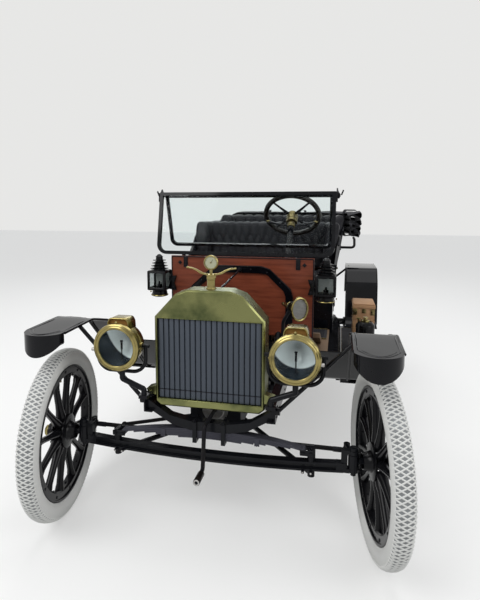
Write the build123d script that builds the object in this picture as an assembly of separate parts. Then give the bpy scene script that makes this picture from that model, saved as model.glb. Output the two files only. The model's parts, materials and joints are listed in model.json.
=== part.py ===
from build123d import *
import os
from math import atan2, cos, degrees, hypot, pi, radians, sin, tan

# Brass-era open touring car, hood off, top folded down. Millimetres, +Z up.
# The front faces -Y and the car's left side, where the driver sits, is +X.
# Stations (y) are measured rearward from the front axle; on export everything moves so that the
# origin lies on the floor under the middle of the overall length.

os.makedirs("parts", exist_ok=True)

# Driving dimensions of the car
wheelbase = 2540.0
track = 1422.0
tyre_diameter = 762.0
tyre_section = 84.0
tail_station = 3004.0
sheet = 4.0
seat_gap = 0.3

# Wheels
tyre_radius = tyre_diameter / 2
tyre_centre = tyre_radius - tyre_section / 2
rim_width = 62.0
rim_outer = tyre_centre - tyre_section / 2 + 6
rim_inner = rim_outer - 8
felloe_depth = 36.0
felloe_width = 42.0
spoke_count = 12
spoke_root = 19.0
spoke_tip = 13.0
hub_flange = 76.0
hub_flange_width = 54.0
hub_barrel = 36.0
hub_length = 128.0
hub_cap = 27.0
spindle_radius = 14.0
bearing_clearance = 0.1
drum_radius = 118.0
drum_width = 34.0

# Front axle and steering
steer_rest = 10.0
kingpin_x = 612.0
kingpin_radius = 11.0
kingpin_length = 122.0
fork_height = 92.0
spindle_boss = 22.0
beam_height = 40.0
beam_flange = 36.0
beam_web = 12.0
beam_sag = 22.0
steer_arm_length = 140.0
steer_arm_drop = 4.0
tie_rod_radius = 10.0
tie_rod_gap = 3.0
perch_x = 440.0

# Frame
frame_half_width = 292.0
rail_depth = 76.0
rail_flange = 38.0
rail_wall = 6.0
rail_top = 600.0
frame_front = -42.0
frame_rear = 2600.0
cross_low = 492.0
cross_depth = 44.0
cross_height = 40.0
bracket_stations = (860.0, 1790.0)
truss_radius = 8.0
truss_dip = 58.0
truss_reach = 330.0

# Springs
leaf_thickness = 7.0
leaf_width = 42.0
leaf_count = 6
front_spring_rise = 44.0
rear_spring_rise = 125.0
rear_perch_x = 500.0

# Radiator
shell_front = -26.0
shell_depth = 104.0
shell_half_width = 243.0
shoulder_height = 950.0
radiator_top = 1072.0
top_half_width = 92.0
shell_foot = 552.0
ear_height = 627.0
ear_reach = 286.0
core_half_width = 231.0
core_top = 944.0
core_bottom = 588.0
core_tubes = 19
neck_radius = 17.5
neck_top = 1134.0
gauge_height = 1186.0
gauge_radius = 32.0
wing_span = 108.0

# Dash and windshield
firewall_station = 622.0
firewall_thickness = 22.0
firewall_half_width = 404.0
firewall_top = 1155.0
firewall_foot = rail_top + 6.0
former_top = 1109.0
former_half_width = 293.0
former_flat = 118.0
former_shoulder = 945.0
former_band = 40.0
shield_bar = 20.0
shield_half_width = 510.0
shield_foot_station = 668.0
shield_foot = 1158.0
shield_height = 364.0
shield_lean = 11.0
shield_corner = 60.0
pane_thickness = 5.0
upper_half_width = 494.0
upper_height = 322.0
upper_lean = 16.0
upper_setback = 46.0
shield_hinge_drop = 10.0

# Steering column
column_lean = 44.5
column_x = 215.0
wheel_station = 1300.0
wheel_height = 1384.0
steering_wheel_radius = 190.0
wheel_rim = 13.0
column_radius = 19.0
column_foot = 500.0
pitman_length = 140.0

# Engine
block_front = 118.0
block_rear = 586.0
block_half_width = 92.0
block_foot = 560.0
block_top = 800.0
head_height = 66.0
pan_half_width = 118.0
pan_foot = 430.0
flywheel_station = 690.0
flywheel_radius = 208.0
flywheel_width = 130.0
crank_height = 508.0
fan_radius = 178.0
fan_height = 700.0
fan_station = 94.0

# Body
sill = rail_top + 8.0
body_half_width = 500.0
floor_thickness = 20.0
wall = 18.0
seat_front = 1205.0
seat_back = 1640.0
seat_base = 880.0
front_tub_rise = 350.0
rear_tub_rise = 390.0
front_back_rise = 458.0
rear_back_rise = 508.0
cushion_height = 120.0
rear_cushion_height = 130.0
front_tub_top = seat_base + front_tub_rise
rear_tub_top = seat_base + rear_tub_rise
front_back_top = seat_base + front_back_rise
rear_back_top = seat_base + rear_back_rise
front_cushion_top = seat_base + cushion_height
rear_cushion_top = seat_base + rear_cushion_height
door_front = 1654.0
door_rear = 1992.0
door_gap = 6.0
door_top_front = seat_base + 130
door_top_rear = seat_base + 180
tub_front = 2006.0
tub_back = 2560.0
body_rear = 2640.0

# Fenders and running boards
fender_thickness = sheet
front_fender_inner = 594.0
front_fender_outer = 773.0
rear_fender_inner = 600.0
rear_fender_outer = 852.0
rear_fender_top = 925.0
fender_iron_place = (2400.0, rear_fender_top - 95)
rear_fender_bend = 90.0
fender_top = 893.0
board_inner = 556.0
board_outer = 790.0
board_top = 462.0
board_thickness = 14.0
board_mat = 3.0
mat_margin = 84.0
board_front = 716.0
board_rear = 2040.0
bead_radius = 6.0

# Lamps
headlamp_x = 375.0
headlamp_height = 831.0
headlamp_front = -132.0
headlamp_ring = 103.0
headlamp_drum = 90.0
headlamp_depth = 150.0
side_lamp_x = 469.0
side_lamp_station = 600.0
side_lamp_floor = 964.0
side_lamp_height = 106.0
side_lamp_width = 106.0

half_track = track / 2
hub_height = tyre_radius
rest_angle = radians(steer_rest)
front_reach = tyre_radius * cos(rest_angle) + (half_track - kingpin_x) * sin(rest_angle) + 1
origin_shift = (front_reach - tail_station) / 2


def poly(plane, points, radius=0):
    """A face from corner points in a plane's own coordinates, with rounded corners if asked."""
    line = FilletPolyline(*points, radius=radius, close=True) if radius else Polyline(*points, close=True)
    return plane * make_face(line)


def side_plate(points, x_low, x_high, radius=0):
    """A plate with an outline of (station, height) corners, between two x planes."""
    return extrude(poly(Plane.YZ.offset(x_low), points, radius), x_high - x_low)


def front_plate(points, y_low, y_high, radius=0):
    """A plate with an outline of (x, height) corners, between two stations."""
    plane = Plane(origin=(0, y_high, 0), x_dir=(1, 0, 0), z_dir=(0, -1, 0))
    return extrude(poly(plane, points, radius), y_high - y_low)


def block(x, y, z):
    """A box from its (low, high) limits along each axis."""
    size = (x[1] - x[0], y[1] - y[0], z[1] - z[0])
    return Pos((x[0] + x[1]) / 2, (y[0] + y[1]) / 2, (z[0] + z[1]) / 2) * Box(*size)


def rod(start, end, radius, end_radius=None):
    """A round bar, or a cone where its two ends differ, from one point to another."""
    start, end = Vector(*start), Vector(*end)
    plane = Plane(origin=start, z_dir=(end - start).normalized())
    length = (end - start).length
    if end_radius is None:
        return plane * Cylinder(radius, length, align=(Align.CENTER, Align.CENTER, Align.MIN))
    return plane * Cone(radius, end_radius, length, align=(Align.CENTER, Align.CENTER, Align.MIN))


def bent_rod(points, bend, radius):
    """A round bar along straight runs joined by arcs."""
    path = FilletPolyline(*points, radius=bend)
    return sweep(Plane(origin=path @ 0, z_dir=path % 0) * Circle(radius), path)


def turned(axis_start, direction, profile):
    """A turned piece: a closed (along, radius) profile revolved about an axis."""
    direction = Vector(*direction).normalized()
    side = Vector(0, 0, 1) if abs(direction.Z) < 0.9 else Vector(0, 1, 0)
    across = direction.cross(side).normalized()
    plane = Plane(origin=axis_start, x_dir=direction, z_dir=direction.cross(across))
    return revolve(plane * make_face(Polyline(*profile, close=True)), Axis(axis_start, direction), 360)


def both_sides(shape):
    """A shape and its mirror image across the car's middle plane."""
    return [shape, mirror(shape, Plane.YZ)]


def save(name, *shapes):
    """Moves a node's solids to the car's origin and writes them to one file."""
    solids = []
    for shape in shapes:
        solids.extend(shape.solids())
    moved = [Pos(0, origin_shift, 0) * solid for solid in solids]
    result = moved[0] if len(moved) == 1 else Compound(children=moved)
    result.label = name
    export_step(result, os.path.join("parts", f"{name}.step"))


# Wheels: hub, twelve spokes, felloe and steel rim about the Y axis of a wheel at the origin
def make_wheel(rear):
    """One wheel about the X axis, its outer side towards +X."""
    felloe_inner = rim_inner - felloe_depth
    wheel = turned((0, 0, 0), (1, 0, 0), [
        (-felloe_width / 2, felloe_inner), (felloe_width / 2, felloe_inner), (felloe_width / 2, rim_inner),
        (rim_width / 2 - 4, rim_inner), (rim_width / 2 - 4, rim_outer), (-rim_width / 2 + 4, rim_outer),
        (-rim_width / 2 + 4, rim_inner), (-felloe_width / 2, rim_inner)])
    bore = spindle_radius + bearing_clearance
    hub = turned((0, 0, 0), (1, 0, 0), [(-hub_length / 2, bore), (hub_length / 2 - 14, bore),
        (hub_length / 2 - 14, 1), (hub_length / 2 + 20, 1), (hub_length / 2 + 20, hub_cap - 5),
        (hub_length / 2 + 14, hub_cap), (hub_length / 2, hub_cap), (hub_length / 2, hub_barrel - 4),
        (hub_flange_width / 2 + 4, hub_barrel + 4), (hub_flange_width / 2, hub_flange),
        (-hub_flange_width / 2, hub_flange), (-hub_flange_width / 2 - 4, hub_barrel + 4),
        (-hub_length / 2, hub_barrel - 2)])
    wheel += hub
    for index in range(spoke_count):
        angle = 360 / spoke_count * index + 15
        spoke = Pos(0, 0, hub_flange - 8) * Cone(spoke_root, spoke_tip, felloe_inner - hub_flange + 12,
            align=(Align.CENTER, Align.CENTER, Align.MIN))
        wheel += Rot(angle, 0, 0) * spoke
    if rear:
        wheel += turned((0, 0, 0), (1, 0, 0), [(-hub_flange_width / 2 - drum_width, hub_barrel - 6),
            (-hub_flange_width / 2 - drum_width + 6, hub_barrel - 6),
            (-hub_flange_width / 2 - 6, hub_barrel - 6), (-hub_flange_width / 2 + 1, hub_barrel),
            (-hub_flange_width / 2 + 1, drum_radius), (-hub_flange_width / 2 - drum_width, drum_radius),
            (-hub_flange_width / 2 - drum_width, drum_radius - 6),
            (-hub_flange_width / 2 - 6, drum_radius - 6), (-hub_flange_width / 2 - 6, hub_barrel + 2),
            (-hub_flange_width / 2 - drum_width, hub_barrel + 2)])
    return wheel.solids()[0] if len(wheel.solids()) == 1 else wheel


def make_tyre():
    """One tyre about the X axis, seated on the rim."""
    half = tyre_section / 2
    seat = rim_outer + seat_gap
    foot = rim_width / 2 - 8
    section = make_face(
        Polyline((-foot, seat), (foot, seat), (foot + 3, seat + 10))
        + ThreePointArc((foot + 3, seat + 10), (half, tyre_centre), (30, tyre_radius - 9))
        + ThreePointArc((30, tyre_radius - 9), (0, tyre_radius), (-30, tyre_radius - 9))
        + ThreePointArc((-30, tyre_radius - 9), (-half, tyre_centre), (-foot - 3, seat + 10))
        + Polyline((-foot - 3, seat + 10), (-foot, seat)))
    return revolve(section, Axis.X, 360)


def steered(shape, side):
    """Turns a piece about a kingpin to the wheels' angle at rest; side is +1 for the car's left."""
    centre = Vector(side * kingpin_x, 0, 0)
    return Pos(centre) * Rot(0, 0, steer_rest) * Pos(-centre) * shape


def placed(shape, side, station):
    """Puts a wheel at its hub, outer side outward."""
    turn = Rot(0, 0, 0) if side > 0 else Rot(0, 0, 180)
    return Pos(side * half_track, station, hub_height) * turn * shape


front_wheel, rear_wheel, tyre = make_wheel(False), make_wheel(True), make_tyre()
for name, side in (("left", 1), ("right", -1)):
    save(f"wheel_front_{name}", steered(placed(front_wheel, side, 0), side))
    save(f"tyre_front_{name}", steered(placed(tyre, side, 0), side))
    save(f"wheel_rear_{name}", placed(rear_wheel, side, wheelbase))
    save(f"tyre_rear_{name}", placed(tyre, side, wheelbase))

# Front axle: an I-beam bowed down in the middle, forked ends and spring perches
beam_top = hub_height - 8
cross_foot = cross_low - cross_height
front_spring_top = cross_foot - seat_gap
front_eye_height = front_spring_top - front_spring_rise - leaf_thickness / 2


beam_reach = kingpin_x - 40


def beam_line(x):
    """The height of the front axle's upper face at a distance from the middle."""
    bow = (beam_reach ** 2 + beam_sag ** 2) / (2 * beam_sag)
    return beam_top - beam_sag + bow - (bow ** 2 - x ** 2) ** 0.5


def axle_beam():
    """The front axle beam with its two fork ends."""
    reach = beam_reach
    mid = beam_top - beam_sag

    def bowed(half_depth, top, bottom):
        outline = make_face(
            ThreePointArc((-reach, beam_top - top), (0, mid - top), (reach, beam_top - top))
            + Line((reach, beam_top - top), (reach, beam_top - bottom))
            + ThreePointArc((reach, beam_top - bottom), (0, mid - bottom), (-reach, beam_top - bottom))
            + Line((-reach, beam_top - bottom), (-reach, beam_top - top)))
        plane = Plane(origin=(0, half_depth, 0), x_dir=(1, 0, 0), z_dir=(0, -1, 0))
        return extrude(plane * outline, 2 * half_depth)

    beam = bowed(beam_flange / 2, 0, 9) + bowed(beam_flange / 2, beam_height - 9, beam_height)
    beam += bowed(beam_web / 2, 0, beam_height)
    fork_low = hub_height - fork_height / 2
    for side in (1, -1):
        neck = block(sorted((side * (reach - 30), side * (kingpin_x - 14))), (-16, 16),
                     (beam_top - beam_height, beam_top))
        fork = Pos(side * kingpin_x, 0, hub_height) * Cylinder(20, fork_height)
        gap = Pos(side * kingpin_x, 0, hub_height) * Cylinder(34, fork_height - 32)
        web = block(sorted((side * (kingpin_x - 50), side * (kingpin_x - spindle_boss - 2))), (-13, 13),
                    (fork_low, fork_low + fork_height))
        arms = fork + block(sorted((side * (kingpin_x - 40), side * kingpin_x)), (-13, 13),
                            (fork_low, fork_low + fork_height))
        beam += (neck + arms) - gap + web
        beam -= Pos(side * kingpin_x, 0, hub_height) * Cylinder(kingpin_radius + bearing_clearance,
            fork_height + 4)
        beam += rod((side * perch_x, 0, beam_top - 14), (side * perch_x, 0, front_eye_height + 12), 17)
        beam += Pos(side * perch_x, 0, front_eye_height) * Rot(90, 0, 0) * Cylinder(13, leaf_width)
    return beam


front_axle = axle_beam()


def knuckle(side):
    """A steering knuckle: kingpin, barrel, spindle and an arm that points back to the tie rod."""
    barrel_height = fork_height - 32 - 2
    centre = (side * kingpin_x, 0, hub_height)
    body = Pos(centre) * Cylinder(spindle_boss, barrel_height)
    body += Pos(centre) * Cylinder(kingpin_radius, kingpin_length)
    body += Pos(side * kingpin_x, 0, hub_height + fork_height / 2 + 1) * Cylinder(
        17, 12, align=(Align.CENTER, Align.CENTER, Align.MIN))
    body += rod(centre, (side * (half_track + hub_length / 2 - 22), 0, hub_height), spindle_radius)
    arm_low = hub_height - steer_arm_drop
    eye = (side * kingpin_x, steer_arm_length, arm_low)
    body += rod((side * (kingpin_x + 14), 12, hub_height - 10), (eye[0], eye[1] - 4, arm_low), 13, 10)
    body += Pos(*eye) * Cylinder(14, 18)
    body += Pos(*eye) * Cylinder(6, 50, align=(Align.CENTER, Align.CENTER, Align.MAX))
    return body


knuckle_left, knuckle_right = knuckle(1), knuckle(-1)
save("knuckle_left", steered(knuckle_left, 1))
save("knuckle_right", steered(knuckle_right, -1))


def arm_eye(side):
    """The centre of a steering arm's eye, with the wheels at their angle at rest."""
    angle = radians(steer_rest)
    return (side * kingpin_x - steer_arm_length * sin(angle), steer_arm_length * cos(angle),
            hub_height - steer_arm_drop)


# Tie rod between the two arms, hung below their eyes, and the drag link that runs to the pitman arm
left_eye, right_eye = arm_eye(1), arm_eye(-1)
tie_height = left_eye[2] - 9 - tie_rod_gap - 12
tie = rod((left_eye[0], left_eye[1], tie_height), (right_eye[0], right_eye[1], tie_height), tie_rod_radius)
for eye in (left_eye, right_eye):
    tie += Pos(eye[0], eye[1], tie_height) * Cylinder(17, 24)
    tie -= Pos(eye[0], eye[1], tie_height) * Cylinder(6 + bearing_clearance, 60)
lean = radians(column_lean)
column_axis = Vector(0, cos(lean), sin(lean))
wheel_centre = Vector(column_x, wheel_station, wheel_height)
foot_along = (column_foot - wheel_height) / sin(lean)
column_base = wheel_centre + column_axis * foot_along
pitman_ball = column_base + Vector(
    -pitman_length * sin(radians(steer_rest)), pitman_length * cos(radians(steer_rest)) * sin(lean),
    -pitman_length * cos(radians(steer_rest)) * cos(lean))
link_end = (right_eye[0] + 150, right_eye[1], tie_height)
link_cup = (pitman_ball.X, pitman_ball.Y, pitman_ball.Z - 27)
save("tie_rod", tie)
link_start = (link_end[0], link_end[1] + tie_rod_radius + 10, link_end[2])
drag_link = rod(link_start, link_cup, 9) + Pos(*link_cup) * Cylinder(15, 20)
drag_link += Pos(link_end[0], link_end[1] + tie_rod_radius + 9, link_end[2]) * Sphere(14)
drag_link -= Pos(*link_end) * Rot(0, 90, 0) * Cylinder(tie_rod_radius + 0.05, 60)
save("drag_link", drag_link)

# Springs: transverse leaf packs, highest in the middle
def leaf_pack(station, centre_height, half_span, rise, width):
    """A stack of bowed leaves, each shorter than the one above, with eyes at its ends."""
    pack = None
    sag_radius = (half_span ** 2 + rise ** 2) / (2 * rise)
    for index in range(leaf_count):
        reach = half_span * (1 - 0.13 * index)
        top = centre_height - index * leaf_thickness
        edge_drop = sag_radius - (sag_radius ** 2 - reach ** 2) ** 0.5
        outline = make_face(
            ThreePointArc((-reach, top - edge_drop), (0, top), (reach, top - edge_drop))
            + Line((reach, top - edge_drop), (reach, top - edge_drop - leaf_thickness - 0.5))
            + ThreePointArc((reach, top - edge_drop - leaf_thickness - 0.5),
                            (0, top - leaf_thickness - 0.5),
                            (-reach, top - edge_drop - leaf_thickness - 0.5))
            + Line((-reach, top - edge_drop - leaf_thickness - 0.5), (-reach, top - edge_drop)))
        plane = Plane(origin=(0, station + width / 2, 0), x_dir=(1, 0, 0), z_dir=(0, -1, 0))
        leaf = extrude(plane * outline, width)
        pack = leaf if pack is None else pack + leaf
    for side in (1, -1):
        eye = Pos(side * half_span, station, centre_height - rise - leaf_thickness / 2) * Rot(90, 0,
            0) * Cylinder(13, width)
        pack += eye
    return pack


front_spring = leaf_pack(0, front_spring_top, perch_x - 34, front_spring_rise, leaf_width)

# Rear axle: tube, differential bulge, torque tube, brake plates and spring perches
axle_end = half_track - hub_flange_width / 2 - drum_width - 8
rear_axle = rod((-axle_end, wheelbase, hub_height), (axle_end, wheelbase, hub_height), 30)
rear_axle += turned((-118, wheelbase, hub_height), (1, 0, 0), [
    (0, 1), (236, 1), (236, 44), (190, 80), (140, 104), (96, 104), (46, 80), (0, 44)])
rear_axle += rod((-half_track - hub_length / 2 + 22, wheelbase, hub_height),
                 (half_track + hub_length / 2 - 22, wheelbase, hub_height), spindle_radius)
torque_front = (0, flywheel_station + flywheel_radius + 196, crank_height - 20)
rear_axle += rod((0, wheelbase - 60, hub_height), torque_front, 62, 34)
rear_perch_top = hub_height + 58
for side in (1, -1):
    rear_axle += Pos(side * (axle_end - 5), wheelbase, hub_height) * Rot(0, 90,
        0) * Cylinder(drum_radius - 14, 10)
    rear_axle += rod((side * rear_perch_x, wheelbase, hub_height),
                     (side * rear_perch_x, wheelbase, rear_perch_top), 16)
    rear_axle += Pos(side * rear_perch_x, wheelbase, rear_perch_top - 14) * Rot(90, 0, 0) * Cylinder(13,
        leaf_width)
    rear_axle += rod((side * (axle_end - 46), wheelbase - 20, hub_height),
                     (side * 20, torque_front[1] + 60, torque_front[2] - 2), 12)
    rear_axle += Pos(side * (axle_end - 46), wheelbase, hub_height) * Rot(0, 90, 0) * Cylinder(44, 22)
save("rear_axle", rear_axle)
rear_eye_height = rear_perch_top - 14
rear_spring_top = rear_eye_height + leaf_thickness / 2 + rear_spring_rise
rear_spring = leaf_pack(wheelbase, rear_spring_top, rear_perch_x - 34, rear_spring_rise, leaf_width)


def shackle(x_spring, x_perch, station, height, depth):
    """A pair of side links between a spring's eye and its perch."""
    low, high = sorted((x_spring, x_perch))
    links = None
    for face in (-depth / 2 - 8 - seat_gap, depth / 2 + seat_gap):
        link = block((low - 13, high + 13), (station + face, station + face + 8),
                     (height - 12, height + 12))
        links = link if links is None else links + link
    return links


shackles = []
for side in (1, -1):
    shackles += shackle(side * (perch_x - 34), side * perch_x, 0, front_eye_height, leaf_width).solids()
    shackles += shackle(side * (rear_perch_x - 34), side * rear_perch_x, wheelbase, rear_eye_height,
                        leaf_width).solids()

# Frame: two channels, the dropped front cross member, the rear one and the running-board brackets
rail_outline = [(frame_half_width, rail_top), (frame_half_width - rail_flange, rail_top),
    (frame_half_width - rail_flange, rail_top - rail_wall),
    (frame_half_width - rail_wall, rail_top - rail_wall),
    (frame_half_width - rail_wall, rail_top - rail_depth + rail_wall),
    (frame_half_width - rail_flange, rail_top - rail_depth + rail_wall),
    (frame_half_width - rail_flange, rail_top - rail_depth), (frame_half_width, rail_top - rail_depth)]
rail = front_plate(rail_outline, frame_front, frame_rear)
frame = rail + mirror(rail, Plane.YZ)
inner = frame_half_width - rail_wall
cross_front = front_plate([
    (-inner, rail_top - 22), (-inner, rail_top - 62), (-170, cross_foot + 18), (-90, cross_foot),
    (90, cross_foot), (170, cross_foot + 18), (inner, rail_top - 62), (inner, rail_top - 22),
    (180, cross_low + 18), (90, cross_low), (-90, cross_low), (-180, cross_low + 18)],
    -cross_depth / 2, cross_depth / 2)
frame += cross_front
rear_cross_foot = rear_spring_top + seat_gap
frame += front_plate([(-inner, rail_top - rail_wall), (-inner, rear_cross_foot + 6),
    (-150, rear_cross_foot), (150, rear_cross_foot), (inner, rear_cross_foot + 6),
    (inner, rail_top - rail_wall)], wheelbase - 26, wheelbase + 26)
board_foot = board_top - board_thickness
for station in bracket_stations:
    for side in (1, -1):
        web = front_plate([(side * frame_half_width, rail_top - 14),
            (side * (frame_half_width + 16), rail_top - 14),
            (side * (board_inner - 6), board_foot - seat_gap),
            (side * (board_outer - 26), board_foot - seat_gap),
            (side * (board_outer - 26), board_foot - 10), (side * (board_inner - 10), board_foot - 14),
            (side * frame_half_width, rail_top - rail_depth + 2)], station - 5, station + 5)
        frame += web
    truss_height = board_foot - 24
    half_truss = [(board_inner - 4, truss_height), (truss_reach + 110, truss_height),
                  (truss_reach, truss_height - truss_dip)]
    truss_line = [(-x, station, z) for x, z in half_truss] + [(x, station, z) for x,
        z in reversed(half_truss)]
    frame += bent_rod(truss_line, 40, truss_radius)
    frame += block((-board_inner, -board_inner + 24), (station - 11, station + 11),
                   (board_foot - 36, board_foot - seat_gap))
    frame += block((board_inner - 24, board_inner), (station - 11, station + 11),
                   (board_foot - 36, board_foot - seat_gap))

# Front and rear spring clamps over the cross members
clamp_foot = front_spring_top - (leaf_count * leaf_thickness + 3 + 8)
for x in (-64, 64):
    frame += block((x - 9, x + 9), (-cross_depth / 2 - 8, -cross_depth / 2), (clamp_foot, cross_low))
    frame += block((x - 9, x + 9), (cross_depth / 2, cross_depth / 2 + 8), (clamp_foot, cross_low))
    frame += block((x - 9, x + 9), (-cross_depth / 2 - 8, cross_depth / 2 + 8),
                   (clamp_foot, clamp_foot + 8))
save("frame", frame)
save("front_axle", front_axle)
save("springs", front_spring, rear_spring, *shackles)

# Front wishbone from the axle's perches to the ball under the engine
ball_station = flywheel_station - flywheel_radius - 40
ball_height = pan_foot - 90
wish_height = beam_top - beam_height - 26
wishbone = None
for side in (1, -1):
    arm = rod((side * perch_x, 0, wish_height), (side * 16, ball_station, ball_height), 12)
    arm += rod((side * perch_x, 0, wish_height - 12),
        (side * perch_x, 0, beam_line(perch_x - 15) - beam_height - seat_gap), 15)
    wishbone = arm if wishbone is None else wishbone + arm
wishbone += Pos(0, ball_station, ball_height) * Sphere(24)
wishbone += rod((0, ball_station, ball_height + 10), (0, ball_station, pan_foot - seat_gap), 18)
save("wishbone", wishbone)

# Radiator: brass shell with shoulders and ears, tube-and-fin core, filler neck with winged cap
def shell_outline(inset=0.0):
    """The radiator's outline, drawn in by an inset."""
    top = radiator_top - inset
    return [(-top_half_width + inset * 0.4, top), (top_half_width - inset * 0.4, top),
        (148 - inset * 0.6, top - 20), (shell_half_width - inset, shoulder_height - inset * 0.3),
        (shell_half_width - inset, shell_foot + inset + 20),
        (shell_half_width - inset - 24, shell_foot + inset),
        (-shell_half_width + inset + 24, shell_foot + inset),
        (-shell_half_width + inset, shell_foot + inset + 20),
        (-shell_half_width + inset, shoulder_height - inset * 0.3), (-148 + inset * 0.6, top - 20)]


shell_back = shell_front + shell_depth
shell = front_plate(shell_outline(), shell_front, shell_back)
front_edges = shell.edges().filter_by_position(Axis.Y, shell_front - 1, shell_front + 1)
shell = chamfer(front_edges, 7)
core_opening = front_plate([
    (-core_half_width, core_bottom), (core_half_width, core_bottom),
    (core_half_width, core_top), (-core_half_width, core_top)], shell_front - 5, shell_front + 12)
window = front_plate([(-core_half_width - 6, core_bottom - 10), (core_half_width + 6, core_bottom - 10),
    (core_half_width + 6, core_top + 4), (-core_half_width - 6, core_top + 4)], shell_front + 10,
    shell_back + 5)
shell = shell - core_opening - window
for side in (1, -1):
    shell += front_plate([
        (side * (shell_half_width - 2), ear_height + 14), (side * (ear_reach - 6), ear_height + 2),
        (side * ear_reach, ear_height - 4), (side * (ear_reach - 14), rail_top + seat_gap + 3),
        (side * (shell_half_width + 8), rail_top + seat_gap),
        (side * (shell_half_width - 2), rail_top + seat_gap)][::side], shell_front + 2, shell_front + 44)
save("radiator_shell", shell)
core_front = shell_front + 6
core = block((-core_half_width - 6 + seat_gap, core_half_width + 6 - seat_gap),
             (core_front + 12, shell_back - 8), (core_bottom - 9, core_top + 3))
tube_pitch = (2 * core_half_width - 10) / core_tubes
for index in range(core_tubes):
    x = -core_half_width + 5 + (index + 0.5) * tube_pitch
    core += block((x - tube_pitch * 0.3, x + tube_pitch * 0.3), (core_front, core_front + 20),
                  (core_bottom + 3, core_top - 3))
core += block((-core_half_width + 3, core_half_width - 3), (core_front + 3, core_front + 14),
              (core_bottom + 40, core_bottom + 44))
save("radiator_core", core)
neck_station = shell_front + shell_depth * 0.46
cap = turned((0, neck_station, radiator_top), (0, 0, 1), [
    (0, 1), (0, neck_radius + 5), (6, neck_radius), (neck_top - radiator_top - 16, neck_radius),
    (neck_top - radiator_top - 16, neck_radius + 4), (neck_top - radiator_top, neck_radius + 4),
    (neck_top - radiator_top, 8), (gauge_height - gauge_radius - radiator_top + 4, 8),
    (gauge_height - gauge_radius - radiator_top + 4, 1)])
wing_path = [(12, neck_top + 4), (46, neck_top + 8), (78, neck_top + 22), (wing_span, neck_top + 26)]
wing_band = [(x, z + 4) for x, z in wing_path] + [(x, z - 4) for x, z in reversed(wing_path)]
for side in (1, -1):
    wing = front_plate([(side * x, z) for x, z in wing_band][::-side], neck_station - 7, neck_station + 7)
    cap += wing
cap += block((-16, 16), (neck_station - 8, neck_station + 8), (neck_top - 2, neck_top + 9))
cap += Pos(0, neck_station, gauge_height) * Rot(90, 0, 0) * Cylinder(gauge_radius, 14)
save("radiator_cap", cap)

# Starting crank below the radiator
crank_shaft_height = crank_height
crank_front = -92.0
starting_crank = bent_rod([
    (0, block_front - 36 - seat_gap, crank_shaft_height), (0, crank_front, crank_shaft_height),
    (-8, crank_front, crank_shaft_height - 190), (-8, crank_front - 88, crank_shaft_height - 196)], 12, 9)
starting_crank += rod((-8, crank_front - 22, crank_shaft_height - 196),
                      (-8, crank_front - 90, crank_shaft_height - 196), 14)
save("starting_crank", starting_crank)

# Engine: cylinder block with head, crankcase, pan with flywheel housing, timing cover and fan
engine = block((-block_half_width, block_half_width), (block_front, block_rear), (block_foot, block_top))
engine = fillet(engine.edges().filter_by(Axis.Z), 14)
head = block((-block_half_width - 6, block_half_width - 10), (block_front - 4, block_rear + 4),
             (block_top, block_top + head_height))
head = fillet(head.edges().group_by(Axis.Z)[-1], 16)
engine += head
cylinder_pitch = (block_rear - block_front) / 4
for index in range(4):
    y = block_front + (index + 0.5) * cylinder_pitch
    engine += Pos(28, y, block_foot + 60) * Cylinder(cylinder_pitch * 0.46, block_top - block_foot - 60,
        align=(
        Align.CENTER, Align.CENTER, Align.MIN))
    engine += Pos(-16, y, block_top + head_height - 2) * Cylinder(11, 34,
        align=(Align.CENTER, Align.CENTER, Align.MIN))
pan = side_plate([(block_front - 34, block_foot + 20), (block_front - 34, pan_foot + 26),
    (block_front + 6, pan_foot), (flywheel_station - flywheel_radius - 20, pan_foot),
    (flywheel_station + flywheel_radius + 20, pan_foot + 20),
    (flywheel_station + flywheel_radius + 190, crank_height - 56),
    (flywheel_station + flywheel_radius + 190, crank_height + 44),
    (flywheel_station + 60, block_foot + 56), (block_rear, block_foot + 56),
    (block_rear, block_foot + 20)], -pan_half_width, pan_half_width)
engine += pan
engine += Pos(0, flywheel_station, crank_height) * Rot(90, 0, 0) * Cylinder(flywheel_radius, flywheel_width)
engine += Pos(0, block_front - 12, crank_height) * Rot(90, 0, 0) * Cylinder(58, 48)
engine += rod((0, block_front + 2, head_height + block_top - 22),
              (0, shell_back + seat_gap, head_height + block_top - 22), 26)
engine += rod((0, fan_station, fan_height), (0, block_front + 4, fan_height), 15)
engine += Pos(0, fan_station, fan_height) * Rot(90, 0, 0) * Cylinder(42, 16)
for index in range(4):
    blade = Pos(0, fan_station, fan_height) * Rot(0, 45 + 90 * index, 0) * Pos(0, 0,
        fan_radius / 2 + 16) * Rot(0, 0, 28) * Box(
        62, 3, fan_radius - 30)
    engine += blade
for side in (1, -1):
    engine += block(sorted((side * 60, side * (frame_half_width - rail_wall - seat_gap))),
                    (block_rear - 40, block_rear), (
        rail_top - 70, rail_top - 70 + 34))
engine -= rod((0, -100, crank_shaft_height), (0, block_front - 38, crank_shaft_height), 30)
save("engine", engine)

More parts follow.
